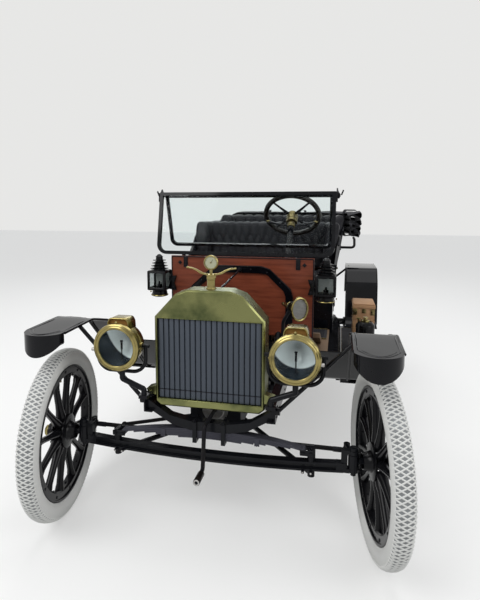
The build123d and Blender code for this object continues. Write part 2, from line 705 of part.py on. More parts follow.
# Manifolds, carburettor and water pipe on the right of the block, exhaust pipe and muffler
exhaust_height = block_foot + 132
manifold = rod((-block_half_width - 30, block_front + 30, exhaust_height),
               (-block_half_width - 30, block_rear - 10, exhaust_height), 24)
for index in range(4):
    y = block_front + (index + 0.5) * cylinder_pitch
    manifold += rod((-block_half_width - seat_gap, y, exhaust_height),
                    (-block_half_width - 30, y, exhaust_height), 17)
intake_height = exhaust_height - 50
manifold += rod((-block_half_width - 34, block_front + cylinder_pitch, intake_height),
                (-block_half_width - 34, block_rear - cylinder_pitch, intake_height), 15)
for y in (block_front + cylinder_pitch, block_rear - cylinder_pitch):
    manifold += rod((-block_half_width - seat_gap, y, intake_height),
                    (-block_half_width - 34, y, intake_height), 15)
    manifold += rod((-block_half_width - 34, y, intake_height), (-block_half_width - 30, y, exhaust_height),
                    7)
mid_station = (block_front + block_rear) / 2
manifold += rod((-block_half_width - 34, mid_station, intake_height),
                (-pan_half_width - 42, mid_station, intake_height - 76), 16)
manifold += rod((-pan_half_width - 42, mid_station, intake_height - 62),
                (-pan_half_width - 42, mid_station, intake_height - 128), 34)
save("manifold", manifold)
pipe_x = -232.0
pipe_station = 510.0
pipe_height = 456.0
muffler_x = -200.0
muffler_radius = 58.0
muffler_front, muffler_rear = 960.0, 1390.0
manifold_foot = exhaust_height - 24 - seat_gap
exhaust = bent_rod([(-block_half_width - 30, pipe_station, manifold_foot),
    (-block_half_width - 30, pipe_station, manifold_foot - 30), (pipe_x, pipe_station, rail_top - 10),
    (pipe_x, pipe_station, pipe_height + 14), (pipe_x, pipe_station + 80, pipe_height),
    (pipe_x, 860, pipe_height), (muffler_x, muffler_front + 10, pipe_height)], 11, 16)
exhaust += rod((muffler_x, muffler_front, pipe_height), (muffler_x, muffler_rear, pipe_height),
               muffler_radius)
exhaust += rod((muffler_x, muffler_rear - 5, pipe_height), (muffler_x, muffler_rear + 55, pipe_height), 15)
hanger_station = (muffler_front + muffler_rear) / 2
exhaust += block((muffler_x - 30, muffler_x + 6), (hanger_station - 12, hanger_station + 12),
                 (pipe_height + muffler_radius - 10, rail_top - 40))
exhaust += block((-frame_half_width + rail_wall + seat_gap, muffler_x),
                 (hanger_station - 12, hanger_station + 12),
                 (rail_top - 46, rail_top - 40))
save("exhaust", exhaust)

# Firewall with the hood former, stay rod and windshield clips
fire_back = firewall_station + firewall_thickness
firewall = front_plate([
    (-firewall_half_width, firewall_foot), (firewall_half_width, firewall_foot),
    (firewall_half_width, firewall_top), (-firewall_half_width, firewall_top)], firewall_station, fire_back)
column_bore = rod(tuple(column_base), tuple(wheel_centre), column_radius + 1)
firewall -= column_bore
housing_room = flywheel_radius + 8
firewall -= block((-housing_room, housing_room), (firewall_station - 5, fire_back + 5),
                  (firewall_foot - 5, crank_height + housing_room))
save("firewall", firewall)


def former_outline(inset):
    """The hood former's outline, drawn in by an inset."""
    return [(-former_half_width + inset, sill + 4), (-former_half_width + inset, former_shoulder),
        (-former_half_width + inset + 12, former_shoulder + 42 - inset * 0.3),
        (-former_flat - 48 + inset * 0.5, former_top - 16 - inset * 0.7),
        (-former_flat + inset * 0.4, former_top - inset), (former_flat - inset * 0.4, former_top - inset),
        (former_flat + 48 - inset * 0.5, former_top - 16 - inset * 0.7),
        (former_half_width - inset - 12, former_shoulder + 42 - inset * 0.3),
        (former_half_width - inset, former_shoulder), (former_half_width - inset, sill + 4)]


former_face = firewall_station - seat_gap
former = front_plate(former_outline(0), former_face - 14, former_face)
hollow = former_outline(former_band)
hollow[0] = (hollow[0][0], sill - 20)
hollow[-1] = (hollow[-1][0], sill - 20)
former -= front_plate(hollow, former_face - 30, former_face + 10)
former -= rod(tuple(column_base), tuple(wheel_centre), column_radius + 6)
stay_height = former_top - 22
stay = rod((0, former_face - 20, stay_height), (0, shell_back + 8, radiator_top - 34), 6)
stay += rod((0, former_face - 14 - seat_gap, stay_height), (0, former_face - 26, stay_height), 14)
stay += rod((0, shell_back + seat_gap, radiator_top - 34), (0, shell_back + 12, radiator_top - 34), 13)
save("hood_former", former)
save("stay_rod", stay)

# Windshield: the lower frame leans back on the dash, the upper one hangs folded behind it
shield_plane = Plane(origin=(0, shield_foot_station, shield_foot), x_dir=(1, 0, 0),
                     z_dir=(0, -cos(radians(shield_lean)), sin(radians(shield_lean))))


def frame_and_pane(plane, half_width, height, corner, bar):
    """A window frame of flat bar round a pane, standing on a plane's X axis."""
    def panel(grow, depth):
        low, high = -grow + bar, height - bar + grow
        wide = half_width - bar + grow
        round_low = max(corner - bar + grow, 4)
        face = make_face(Polyline((-wide, low), (wide, low), (wide, high), (-wide, high), close=True))
        corners = face.vertices().sort_by(Axis.Y)[:2]
        face = fillet(corners, round_low)
        return extrude(plane * Pos(0, 0, -depth / 2) * face, depth)

    rim = panel(bar, bar) - panel(0, bar + 4)
    rim -= panel(7, pane_thickness + 2 * seat_gap)
    pane = panel(7 - seat_gap, pane_thickness)
    return rim, pane


lower_rim, lower_pane = frame_and_pane(shield_plane, shield_half_width, shield_height, shield_corner,
                                       shield_bar)
pivot = shield_plane * Pos(0, shield_height - shield_hinge_drop, -upper_setback)
pivot_point = Vector(*pivot.position)
hinge_reach = upper_height - shield_bar / 2 + 1
upper_plane = Plane(origin=(0, pivot_point.Y + sin(radians(upper_lean)) * hinge_reach,
    pivot_point.Z - cos(radians(upper_lean)) * hinge_reach), x_dir=(1, 0, 0),
    z_dir=(0, -cos(radians(upper_lean)), -sin(radians(upper_lean))))
upper_rim, upper_pane = frame_and_pane(upper_plane, upper_half_width, upper_height, 44, shield_bar - 2)
for side in (1, -1):
    ear = Pos(side * (shield_half_width + 4), 0, 0) * side_plate([(pivot_point.Y - upper_setback - 10,
        pivot_point.Z - 34), (pivot_point.Y - upper_setback + 12, pivot_point.Z - 38),
        (pivot_point.Y + 15, pivot_point.Z - 14), (pivot_point.Y + 15, pivot_point.Z + 12),
        (pivot_point.Y - 6, pivot_point.Z + 40), (pivot_point.Y - 26, pivot_point.Z + 20),
        (pivot_point.Y - upper_setback - 6, pivot_point.Z + 16)], -4, 4)
    lower_rim += ear
    lower_rim += rod((side * (upper_half_width - 11), pivot_point.Y, pivot_point.Z),
                     (side * (shield_half_width + 22), pivot_point.Y, pivot_point.Z), 8)
    upper_rim -= rod((side * (upper_half_width - 13), pivot_point.Y, pivot_point.Z),
                     (side * (shield_half_width + 2), pivot_point.Y, pivot_point.Z), 8 + bearing_clearance)
for side in (1, -1):
    clip_x = side * (firewall_half_width - 62)
    lower_rim += block((clip_x - 7, clip_x + 7), (fire_back + seat_gap, shield_foot_station + 4),
                       (shield_foot - 40, shield_foot + 6))
save("windshield_lower", lower_rim)
save("pane_lower", lower_pane)
save("windshield_upper", upper_rim)
save("pane_upper", upper_pane)

# Steering column, wheel and pitman arm
column = rod(tuple(column_base + column_axis * 60), tuple(wheel_centre - column_axis * 66), column_radius)
column += rod(tuple(wheel_centre - column_axis * 70), tuple(wheel_centre - column_axis * (14 + seat_gap)),
              36)
column += rod(tuple(column_base + column_axis * 30), tuple(column_base + column_axis * 90), 32)
column_clip = column_base + column_axis * 60
column += block((column_x, frame_half_width - rail_wall - seat_gap),
                (column_clip.Y - 20, column_clip.Y + 20),
                (rail_top - 62, rail_top - 20))
column -= rod(tuple(column_base - column_axis * 50), tuple(wheel_centre), 9 + bearing_clearance)
for side, along in ((1, 96), (-1, 100)):
    root = wheel_centre - column_axis * along
    column += rod(tuple(root + Vector(side * 12, 0, 0)), tuple(root + Vector(side * 150, 30, 20)), 5)
save("steering_column", column)
column_plane = Plane(origin=wheel_centre, x_dir=(1, 0, 0), z_dir=column_axis)
steering_wheel = column_plane * Torus(steering_wheel_radius - wheel_rim, wheel_rim)
for index in range(4):
    start = column_plane * Rot(0, 0, 45 + 90 * index)
    steering_wheel += start * Pos((steering_wheel_radius - wheel_rim) / 2, 0,
                                  -2) * Box(steering_wheel_radius - wheel_rim - 8, 20, 8)
steering_wheel += column_plane * Pos(0, 0, -2) * Cylinder(34, 24)
steering_wheel += column_plane * Pos(0, 0, 10) * Cylinder(15, 22,
    align=(Align.CENTER, Align.CENTER, Align.MIN))
save("steering_wheel", steering_wheel)
pitman = rod(tuple(column_base - column_axis * 14), tuple(wheel_centre - column_axis * 30), 9)
pitman_dir = (pitman_ball - column_base).normalized()
pitman += rod(tuple(column_base), tuple(column_base + pitman_dir * (pitman_length - 6)), 13, 9)
pitman += Pos(*tuple(column_base)) * Plane((0, 0, 0), z_dir=column_axis).location * Cylinder(20, 28)
pitman += Pos(*tuple(pitman_ball)) * Sphere(13)
save("pitman_arm", pitman)

# Hand-brake lever and three pedals
pedal_places = (142.0, 198.0, 254.0)
lever_foot = sill + floor_thickness + seat_gap
lever_x, lever_station = 330.0, 1010.0
lever = rod((lever_x, lever_station, lever_foot + 8), (lever_x + 16, lever_station + 110, 1000), 9, 7)
lever += block((lever_x - 22, lever_x + 22), (lever_station - 40, lever_station + 50),
               (lever_foot, lever_foot + 14))
controls = [lever]
for x in pedal_places:
    pedal = rod((x, 830, lever_foot + 4), (x, 755, sill + 159), 7)
    pedal += block((x - 12, x + 12), (822, 842), (lever_foot, lever_foot + 5))
    pedal += Pos(x, 754, sill + 160) * Rot(60, 0, 0) * Box(46, 62, 8)
    controls.append(pedal)
save("controls", *controls)

# Floorboards with the inclined toe board
floor_top = sill + floor_thickness
floor = block((-body_half_width + wall + seat_gap, body_half_width - wall - seat_gap),
              (fire_back + seat_gap, body_rear - wall - seat_gap), (sill, floor_top))
tunnel = side_plate([
    (fire_back + seat_gap, floor_top), (fire_back + seat_gap, 742), (fire_back + seat_gap + 18, 742),
    (flywheel_station + flywheel_radius + 60, floor_top)], -body_half_width + 60, body_half_width - 60)
tunnel -= side_plate([
    (fire_back - 10, floor_top - 30), (fire_back - 10, 718), (fire_back + seat_gap + 8, 718),
    (flywheel_station + flywheel_radius + 36, floor_top - 30)], -body_half_width - 60, body_half_width + 60)
floor += tunnel
floor -= block((-pan_half_width - 8, pan_half_width + 8),
               (fire_back - 20, flywheel_station + flywheel_radius + 34),
               (sill - 30, crank_height + flywheel_radius + 60))
floor -= block((-housing_room, housing_room), (fire_back - 20, flywheel_station + flywheel_width / 2 + 8),
               (sill - 30, crank_height + flywheel_radius + 60))
floor -= rod(tuple(column_base), tuple(wheel_centre), column_radius + 6)
for x in pedal_places:
    floor -= block((x - 14, x + 14), (742, 848), (sill + 21, 800))
save("floorboards", floor)

# Body: each seat stands in a tub of panels that flare and round at the back
def tub_ring(front, back, half_width, height, corner, inset):
    """A U-shaped plan outline at one height, as a face that is closed at its front."""
    wide = half_width - inset
    rear = back - inset
    face = Plane.XY.offset(height) * make_face(Polyline((-wide, front), (wide, front), (wide, rear),
        (-wide, rear), close=True))
    corners = face.vertices().sort_by(Axis.Y)[2:]
    return fillet(corners, max(corner - inset, 14))


def tub_shell(front, sections, thickness, side_profile):
    """A flared wall: outer loft less inner loft, its upper edge cut to a side profile."""
    outer = loft([tub_ring(front, *section, 0) for section in sections])
    low, high = sections[0][2], sections[-1][2]
    inner = loft([tub_ring(front - 1, back, half, height, corner, thickness) for back, half, height,
                  corner in sections])
    walls = outer - inner
    over = side_plate(side_profile, -1000, 1000)
    return walls & over


front_sections = [(seat_back - 30, body_half_width, seat_base, 90.0),
                  (seat_back + 10, body_half_width + 42, front_tub_top, 120.0)]
front_tub = tub_shell(seat_front + 12, front_sections, wall,
    [(seat_front - 10, seat_base - 1), (seat_back + 100, seat_base - 1), (seat_back + 100, front_tub_top + 1),
    (seat_back - 120, front_tub_top + 1), (seat_front + 120, front_tub_top - 110),
    (seat_front + 12, front_tub_top - 170)])
box_outer = block((-body_half_width, body_half_width), (seat_front, seat_back - 30), (sill, seat_base))
box_inner = block((-body_half_width + wall, body_half_width - wall),
                  (seat_front + wall, seat_back - 30 - wall), (sill - 10, seat_base - wall))
body_front = box_outer - box_inner + front_tub
body_front -= block((-body_half_width + wall, body_half_width - wall), (seat_front - 5, seat_back),
                    (sill - 5, floor_top + seat_gap))
for side in (1, -1):
    post = block(sorted((side * body_half_width, side * (body_half_width - wall))),
                 (seat_back - 40, door_front - door_gap), (sill, door_top_front - 10))
    body_front += post
save("body_front", body_front)

rear_sections = [(tub_back, body_half_width, seat_base, 130.0),
                 (tub_back + 70, body_half_width + 72, rear_tub_top, 170.0)]
rear_tub = tub_shell(tub_front + 24, rear_sections, wall,
    [(tub_front - 10, seat_base - 1), (tub_back + 160, seat_base - 1), (tub_back + 160, rear_tub_top + 1),
    (tub_back - 160, rear_tub_top + 1), (tub_front + 180, rear_tub_top - 120),
    (tub_front + 24, rear_tub_top - 180)])
lower_outer = extrude(tub_ring(tub_front, body_rear - 80, body_half_width, sill, 130.0, 0),
                      seat_base - sill)
lower_inner = extrude(tub_ring(tub_front - 1, body_rear - 80, body_half_width, sill - 1, 130.0, wall),
                      seat_base - sill + 2)
rear_lower = lower_outer - lower_inner
heel = block((-body_half_width + wall / 2, body_half_width - wall / 2),
             (tub_front + 30, tub_front + 30 + wall), (sill, seat_base))
shelf = extrude(tub_ring(tub_front + 30, body_rear - 80, body_half_width, seat_base - wall, 130.0,
    wall / 2), wall)
body_tub = rear_lower + heel + shelf + rear_tub
for side in (1, -1):
    post = block(sorted((side * body_half_width, side * (body_half_width - wall))),
                 (tub_front, tub_front + 60), (sill, door_top_rear))
    body_tub += post
floor_cut = block((-body_half_width + wall, body_half_width - wall), (tub_front, body_rear),
                  (sill - 5, floor_top + 0.3))
body_tub -= floor_cut
save("body_rear", body_tub)

# Rear doors, hinged at their front edge
handle_height = seat_base + 80
hinge_heights = (seat_base - 180, seat_base + 50)
for name, side in (("left", 1), ("right", -1)):
    panel = side_plate([(door_front, sill + 6), (door_rear, sill + 6), (door_rear, door_top_rear),
        (door_front, door_top_front)], body_half_width - wall, body_half_width, 0)
    panel += side_plate([
        (door_front, door_top_front - 24), (door_rear, door_top_rear - 24), (door_rear, door_top_rear),
        (door_front, door_top_front)], body_half_width - wall - 6, body_half_width + 6)
    panel += rod((body_half_width - 8, door_rear - 40, handle_height),
                 (body_half_width + 24, door_rear - 40, handle_height), 7)
    panel += rod((body_half_width + 20, door_rear - 40, handle_height),
                 (body_half_width + 20, door_rear - 100, handle_height), 6)
    for height in hinge_heights:
        panel += rod((body_half_width + 6, door_front - 2, height),
                     (body_half_width + 6, door_front - 2, height + 46), 5.5)
    save(f"door_{name}", panel if side > 0 else mirror(panel, Plane.YZ))

# Seats: cushions and wrap-round backs
def seat_pad(front, back, height, thickness):
    """A seat cushion as a plain closed solid."""
    wide = body_half_width - wall - 4
    pad = block((-wide, wide), (front, back), (height + seat_gap, height + thickness))
    return fillet(pad.edges().group_by(Axis.Z)[-1] + pad.edges().filter_by(Axis.Z), 26)


def seat_wrap(front, sections, thickness, side_profile):
    """A padded back that lines a tub, with rolled arms."""
    outer = loft([tub_ring(front, back, half, height, corner, wall + seat_gap) for back, half, height,
                  corner in sections])
    inner = loft([tub_ring(front - 1, back, half, height, corner, wall + seat_gap + thickness) for back,
                  half, height, corner in sections])
    pad = outer - inner
    return pad & side_plate(side_profile, -1000, 1000)


front_pad = seat_pad(seat_front + 6, seat_back - 150, seat_base, cushion_height)
rear_pad = seat_pad(tub_front + 36, tub_back - 160, seat_base, rear_cushion_height)
save("seat_cushions", front_pad, rear_pad)


def raised(sections, top):
    """Two loft sections carried straight on to a new top height."""
    low, high = sections
    share = (top - low[2]) / (high[2] - low[2])
    grown = [low[i] + (high[i] - low[i]) * share for i in range(4)]
    return [low, tuple(grown)]


front_wrap = seat_wrap(seat_front + 30, raised(front_sections, front_back_top + 2), 84.0,
    [(seat_front + 20, front_cushion_top + 4), (seat_back + 80, front_cushion_top + 4),
    (seat_back + 80, front_back_top), (seat_back - 150, front_back_top - 8),
    (seat_back - 240, front_back_top - 148), (seat_front + 120, front_back_top - 188),
    (seat_front + 20, front_back_top - 278)])
rear_wrap = seat_wrap(tub_front + 64, raised(rear_sections, rear_back_top + 2), 90.0,
    [(tub_front + 40, rear_cushion_top + 4), (tub_back + 160, rear_cushion_top + 4),
    (tub_back + 160, rear_back_top), (tub_back - 190, rear_back_top - 8),
    (tub_back - 290, rear_back_top - 168), (tub_front + 160, rear_back_top - 208),
    (tub_front + 40, rear_back_top - 298)])
save("seat_backs", front_wrap, rear_wrap)

# Folded top: stacked cloth that wraps the rear seat in a U and rests on an iron at each side
stack_front, stack_rear = 2150.0, 2985.0
stack_half_width = 745.0
stack_inner = 604.0
stack_inner_rear = 2676.0
stack_foot, stack_top = rear_tub_top - 120, rear_tub_top + 172
rest_height = stack_foot + 30
stack = extrude(tub_ring(stack_front, stack_rear, stack_half_width, stack_foot, 230.0, 0),
                stack_top - stack_foot)
stack = fillet(stack.edges().group_by(Axis.Z)[-1], 70)
stack -= extrude(tub_ring(stack_front - 10, stack_inner_rear, stack_inner, stack_foot - 1, 150.0, 0),
                 stack_top - stack_foot + 2)
stack &= side_plate([(stack_front - 5, stack_foot - 1), (stack_front + 90, stack_foot - 1),
    (stack_front + 130, rest_height + seat_gap), (stack_rear - 200, rest_height + seat_gap),
    (stack_rear + 5, stack_foot + 80), (stack_rear + 5, stack_foot + 190), (stack_rear - 300, stack_top - 17),
    (stack_front + 200, stack_top + 1), (stack_front + 60, stack_top + 1), (stack_front - 5, stack_top - 42)],
    -1000, 1000)
save("folded_top", stack)
rear_tub_room = loft([tub_ring(tub_front, back + seat_gap, half + seat_gap, height, corner, 0)
                      for back, half, height, corner in rear_sections])
iron_radius = 11.0
irons = []
for side in (1, -1):
    x = side * (stack_inner + 60)
    low = rest_height - iron_radius
    iron = bent_rod([
        (side * body_half_width, stack_front + 190, low - 70), (x, stack_front + 190, low - 70),
        (x, stack_front + 250, low), (x, stack_inner_rear, low)], 30, iron_radius)
    iron += rod((side * (body_half_width + 20), stack_front + 190, low - 70),
                (side * (body_half_width + 48), stack_front + 190, low - 70), 26)
    irons.append(iron - rear_tub_room)
save("top_irons", *irons)

# Fenders: beaded sheets that follow a side profile; the front pair ends in a rounded nose with a skirt
front_profile = [(-236, fender_top - 6), (70, fender_top + 6), (330, fender_top - 60),
    (board_front - 30, board_top + 14), (board_front + 50, board_top - board_mat + seat_gap)]
rear_profile = [
    (board_rear - 60, board_top - board_mat + seat_gap), (board_rear + 34, board_top + 14), (2130, 800),
    (2230, rear_fender_top), (2660, rear_fender_top), (2860, 800), (tail_station - sheet, 600)]
nose_reach = 78.0
nose_drop = 94.0


def profile_sheet(points, radius, x_low, x_high):
    """A sheet whose underside follows a (station, height) line, between two x planes."""
    outline = offset(FilletPolyline(*points, radius=radius), amount=fender_thickness, side=Side.LEFT)
    face = make_face(outline.edges())
    return extrude(Plane.YZ.offset(x_low) * face, x_high - x_low)


def edge_bead(points, radius, x):
    """The wired edge of a fender along the same line."""
    path = Plane.YZ.offset(x) * FilletPolyline(*points, radius=radius)
    return sweep(Plane(origin=path @ 0, z_dir=path % 0) * Circle(bead_radius), path)


def front_fender():
    """The car's left front fender with its nose skirt and inner apron."""
    middle = (front_fender_inner + front_fender_outer) / 2
    tip = front_profile[0][0]
    nose = make_face(
        ThreePointArc((front_fender_inner, tip + nose_reach * 0.7), (middle, tip),
                      (front_fender_outer, tip + nose_reach))
        + Polyline((front_fender_outer, tip + nose_reach), (front_fender_outer, 900),
                   (front_fender_inner, 900),
                   (front_fender_inner, tip + nose_reach * 0.7)))
    plate = profile_sheet(front_profile, 90, front_fender_inner, front_fender_outer)
    plate &= extrude(Plane.XY.offset(300) * nose, 700)
    inner_nose = offset(nose, amount=-sheet)
    skirt = extrude(Plane.XY.offset(fender_top - nose_drop) * nose, nose_drop) - extrude(
        Plane.XY.offset(fender_top - nose_drop - 1) * inner_nose, nose_drop + 2)
    skirt &= block((0, 1000), (tip - 10, tip + nose_reach), (0, 1000))
    curve = make_face(
        ThreePointArc((front_fender_inner - 2, fender_top - 40), (middle, fender_top - nose_drop),
                      (front_fender_outer + 2, fender_top - 40))
        + Polyline((front_fender_outer + 2, fender_top - 40), (front_fender_outer + 2, fender_top + 2),
                   (front_fender_inner - 2, fender_top + 2), (front_fender_inner - 2, fender_top - 40)))
    skirt &= extrude(Plane(origin=(0, 200, 0), x_dir=(1, 0, 0), z_dir=(0, -1, 0)) * curve, 600)
    piece = plate + skirt
    straight = [(tip + nose_reach + 6, front_profile[0][1] + 2)] + front_profile[1:-1]
    for x in (front_fender_inner, front_fender_outer):
        piece += edge_bead(straight, 90, x)
    apron = profile_sheet(front_profile, 90, frame_half_width + 6, front_fender_inner + 1)
    piece += apron & block((0, 1000), (470, board_front + 20), (0, 1000))
    iron_foot = (frame_half_width + 9, -26, rail_top - 24)
    piece += rod(iron_foot, (front_fender_inner + 14, -26, fender_top + 2), 9)
    piece += Pos(*iron_foot) * Rot(0, 90, 0) * Cylinder(17, 18 - 2 * seat_gap)
    return piece


def rear_fender():
    """The car's left rear fender with the iron that holds it to the body."""
    piece = profile_sheet(rear_profile, rear_fender_bend, rear_fender_inner, rear_fender_outer)
    for x in (rear_fender_inner, rear_fender_outer):
        piece += edge_bead(rear_profile[1:], rear_fender_bend, x)
    station, height = fender_iron_place
    piece += rod((body_half_width + 12, station, height),
                 (rear_fender_inner + 20, station, rear_fender_top - 5), 9)
    piece += rod((body_half_width + seat_gap, station, height), (body_half_width + 16, station, height), 20)
    return piece


save("front_fenders", *both_sides(front_fender()))
save("rear_fenders", *both_sides(rear_fender()))


def running_board():
    """The car's left running board with its lip and the splash apron up to the frame."""
    plate_top = board_top - board_mat
    piece = block((board_inner, board_outer), (board_front, board_rear),
                  (board_top - board_thickness, plate_top))
    piece += block((board_inner + 8, board_outer - 8), (board_front + mat_margin, board_rear - mat_margin),
                   (plate_top - 1, board_top))
    piece += front_plate([
        (board_outer - 5, board_top - 34), (board_outer, board_top - 34), (board_outer, plate_top),
        (board_outer - 5, plate_top)], board_front, board_rear)
    outer = [(frame_half_width + 1, rail_top - 3), (470, rail_top - 22), (541, rail_top - 80),
             (board_inner + 2, board_top - 4)]
    inner = [(x - 1, z - sheet) for x, z in outer[:-1]] + [(outer[-1][0] - sheet, outer[-1][1])]
    piece += front_plate(outer + inner[::-1], board_front + 60, board_rear)
    return piece


save("running_boards", *both_sides(running_board()))

# Gas generator and wooden box on the left running board
generator_x = board_outer - 90
generator_station, generator_radius, generator_height = 1000.0, 62.0, 286.0
generator = turned((generator_x, generator_station, board_top + seat_gap), (0, 0, 1),
    [(0, 1), (0, generator_radius), (8, generator_radius), (12, generator_radius - 4),
    (150, generator_radius - 4), (154, generator_radius), (162, generator_radius),
    (166, generator_radius - 6), (generator_height - 24, generator_radius - 6),
    (generator_height - 8, generator_radius - 22), (generator_height, 16), (generator_height + 14, 16),
    (generator_height + 22, 10), (generator_height + 22, 1)])
save("gas_generator", generator)
box_x, box_y, box_height = (board_outer - 158, board_outer - 22), (1190.0, 1410.0), 350.0
crate = block(box_x, box_y, (board_top + seat_gap, board_top + box_height))
crate = fillet(crate.edges(), 3)
crate += block((box_x[0] - 4, box_x[1] + 4), (box_y[0] - 4, box_y[1] + 4),
               (board_top + box_height - 26, board_top + box_height - 8))
save("wooden_box", crate)

# Headlamps: ringed drums with a bowl inside, a flue on top and a forked bracket on the frame
def headlamp(side):
    """One headlamp with its flue, side lugs, fork and post."""
    origin = (side * headlamp_x, headlamp_front, headlamp_height)
    lens_seat = 86.0
    body = turned(origin, (0, 1, 0), [(0, 78), (0, headlamp_ring - 8), (5, headlamp_ring - 2),
        (14, headlamp_ring), (24, headlamp_ring - 3), (28, headlamp_drum), (96, headlamp_drum),
        (104, headlamp_drum - 6), (headlamp_depth - 14, 46), (headlamp_depth, 30), (headlamp_depth, 1),
        (112, 1), (106, 34), (84, 62), (46, 78), (16, lens_seat), (9, lens_seat), (9, 78)])
    arch_foot = headlamp_height + headlamp_drum - 18
    arch = front_plate([(origin[0] - 47, arch_foot), (origin[0] + 47, arch_foot),
        (origin[0] + 44, arch_foot + 62), (origin[0] + 26, arch_foot + 80),
        (origin[0] - 26, arch_foot + 80), (origin[0] - 44, arch_foot + 62)], headlamp_front + 30,
        headlamp_front + 100)
    opening = front_plate([(origin[0] - 43, arch_foot + 22), (origin[0] + 43, arch_foot + 22),
        (origin[0] + 40, arch_foot + 60), (origin[0] + 24, arch_foot + 76),
        (origin[0] - 24, arch_foot + 76), (origin[0] - 40, arch_foot + 60)], headlamp_front + 20,
        headlamp_front + 92)
    flue = arch - opening
    flue -= rod((origin[0], headlamp_front - 5, headlamp_height),
                (origin[0], headlamp_front + 110, headlamp_height), headlamp_drum - 3)
    body += flue
    body += Pos(origin[0], headlamp_front + 14, headlamp_height + headlamp_ring) * Cylinder(7, 18)
    return body


def lamp_fork(side):
    """The iron that carries a headlamp: a yoke under the drum on a bent post."""
    x, station = side * headlamp_x, headlamp_front + 60
    reach = headlamp_drum + 20
    low = headlamp_height - reach - 6
    yoke = bent_rod([(x - reach, station, headlamp_height), (x - reach, station, low),
                     (x + reach, station, low),
                     (x + reach, station, headlamp_height)], 60, 8)
    for end in (-1, 1):
        yoke += rod((x + end * (headlamp_drum + seat_gap), station, headlamp_height),
                    (x + end * (reach + 16), station, headlamp_height), 8)
    post_x = side * (frame_half_width - 16)
    yoke += bent_rod([(x, station, low), (x, station, low - 36), (post_x, station, rail_top + 40),
                      (post_x, station, rail_top + 14)], 10, 12)
    yoke += block(sorted((post_x - 20, post_x + 20)), (frame_front - 44, frame_front + 14),
                  (rail_top + seat_gap, rail_top + 16))
    return yoke


save("headlamps", headlamp(1), headlamp(-1))
save("lamp_forks", lamp_fork(1), lamp_fork(-1))
lenses = []
for side in (1, -1):
    lenses.append(turned((side * headlamp_x, headlamp_front + 9 + seat_gap, headlamp_height), (0, 1, 0), [
        (0, 1), (0, 85.5), (5, 85.5), (5, 1)]))
save("headlamp_lenses", *lenses)

# Oil lamps beside the dash and at the tail: square bodies with windows, finned chimneys and brass fonts
def oil_lamp(x, y, floor_height, size, height):
    """A square oil lamp with windows, its chimney and the font below; glass is a piece of its own."""
    half = size / 2
    body = block((x - half, x + half), (y - half, y + half), (floor_height, floor_height + height))
    body -= block((x - half + 4, x + half - 4), (y - half + 4, y + half - 4),
                  (floor_height + 4, floor_height + height - 4))
    body -= block((x - half + 12, x + half - 12), (y - half - 5, y),
                  (floor_height + 12, floor_height + height - 12))
    side_window = block((x - half - 5, x + half + 5), (y - half + 16, y + half - 16),
                        (floor_height + 16, floor_height + height - 16))
    body -= side_window
    step = height * 0.15
    rings = [(0, 1), (0, half * 0.62)]
    for index in range(4):
        radius = half * (0.66 - 0.07 * index)
        rings += [(step * index + 4, radius * 0.78), (step * index + step * 0.6, radius * 0.78),
                  (step * index + step * 0.7, radius + 6), (step * index + step * 0.9, radius + 6)]
    rings += [(step * 4, half * 0.4), (step * 6 - 4, half * 0.34), (step * 6, half * 0.2), (step * 6, 1)]
    body += turned((x, y, floor_height + height - 1), (0, 0, 1), rings)
    font = [(-3, 1), (-3, half * 0.7), (10, half * 0.72), (14, half * 0.9), (30, half * 0.9),
            (34, half * 0.98), (44, half * 0.98),
            (50, half * 0.7), (50, 1)]
    body += turned((x, y, floor_height + 2), (0, 0, -1), font)
    body += turned((x, y, floor_height + 3.5), (0, 0, 1), [(0, 1), (0, 9), (20, 7), (34, 4), (34, 1)])
    return body


def oil_lamp_glass(x, y, floor_height, size, height):
    """The front pane of an oil lamp, behind its window."""
    half = size / 2
    return block((x - half + 8, x + half - 8), (y - half + 4 + seat_gap, y - half + 7),
                 (floor_height + 8, floor_height + height - 8))


lamps, glasses = [], []
for side in (1, -1):
    x = side * side_lamp_x
    lamp = oil_lamp(x, side_lamp_station, side_lamp_floor, side_lamp_width, side_lamp_height)
    lamp += block(sorted((side * (firewall_half_width - 34),
        side * (side_lamp_x - side_lamp_width / 2 + 2))),
        (firewall_station - 12, firewall_station - seat_gap), (side_lamp_floor - 6, side_lamp_floor + 78))
    lamps.append(lamp)
    glasses.append(oil_lamp_glass(x, side_lamp_station, side_lamp_floor, side_lamp_width, side_lamp_height))
tail_lamp_x, tail_lamp_station, tail_lamp_floor = 380.0, body_rear + 56, 742.0
tail = oil_lamp(tail_lamp_x, 0, 0, 84.0, 90.0)
tail = Pos(tail_lamp_x, 0, 0) * Rot(0, 0, 180) * Pos(-tail_lamp_x, 0, 0) * tail
tail = Pos(0, tail_lamp_station, tail_lamp_floor) * tail
tail += block((tail_lamp_x - 40, tail_lamp_x - 12), (tub_back + seat_gap, tail_lamp_station - 30), (
    tail_lamp_floor - 8, tail_lamp_floor + 4))
tail += block((tail_lamp_x - 48, tail_lamp_x - 4), (tub_back + seat_gap, tub_back + 8), (
    tail_lamp_floor - 30, tail_lamp_floor + 26))
lamps.append(tail)
tail_glass = Pos(tail_lamp_x, 0, 0) * Rot(0, 0, 180) * Pos(-tail_lamp_x, 0, 0) * oil_lamp_glass(tail_lamp_x,
    0, 0, 84.0, 90.0)
glasses.append(Pos(0, tail_lamp_station, tail_lamp_floor) * tail_glass)
save("oil_lamps", *lamps)
save("oil_lamp_glass", *glasses)

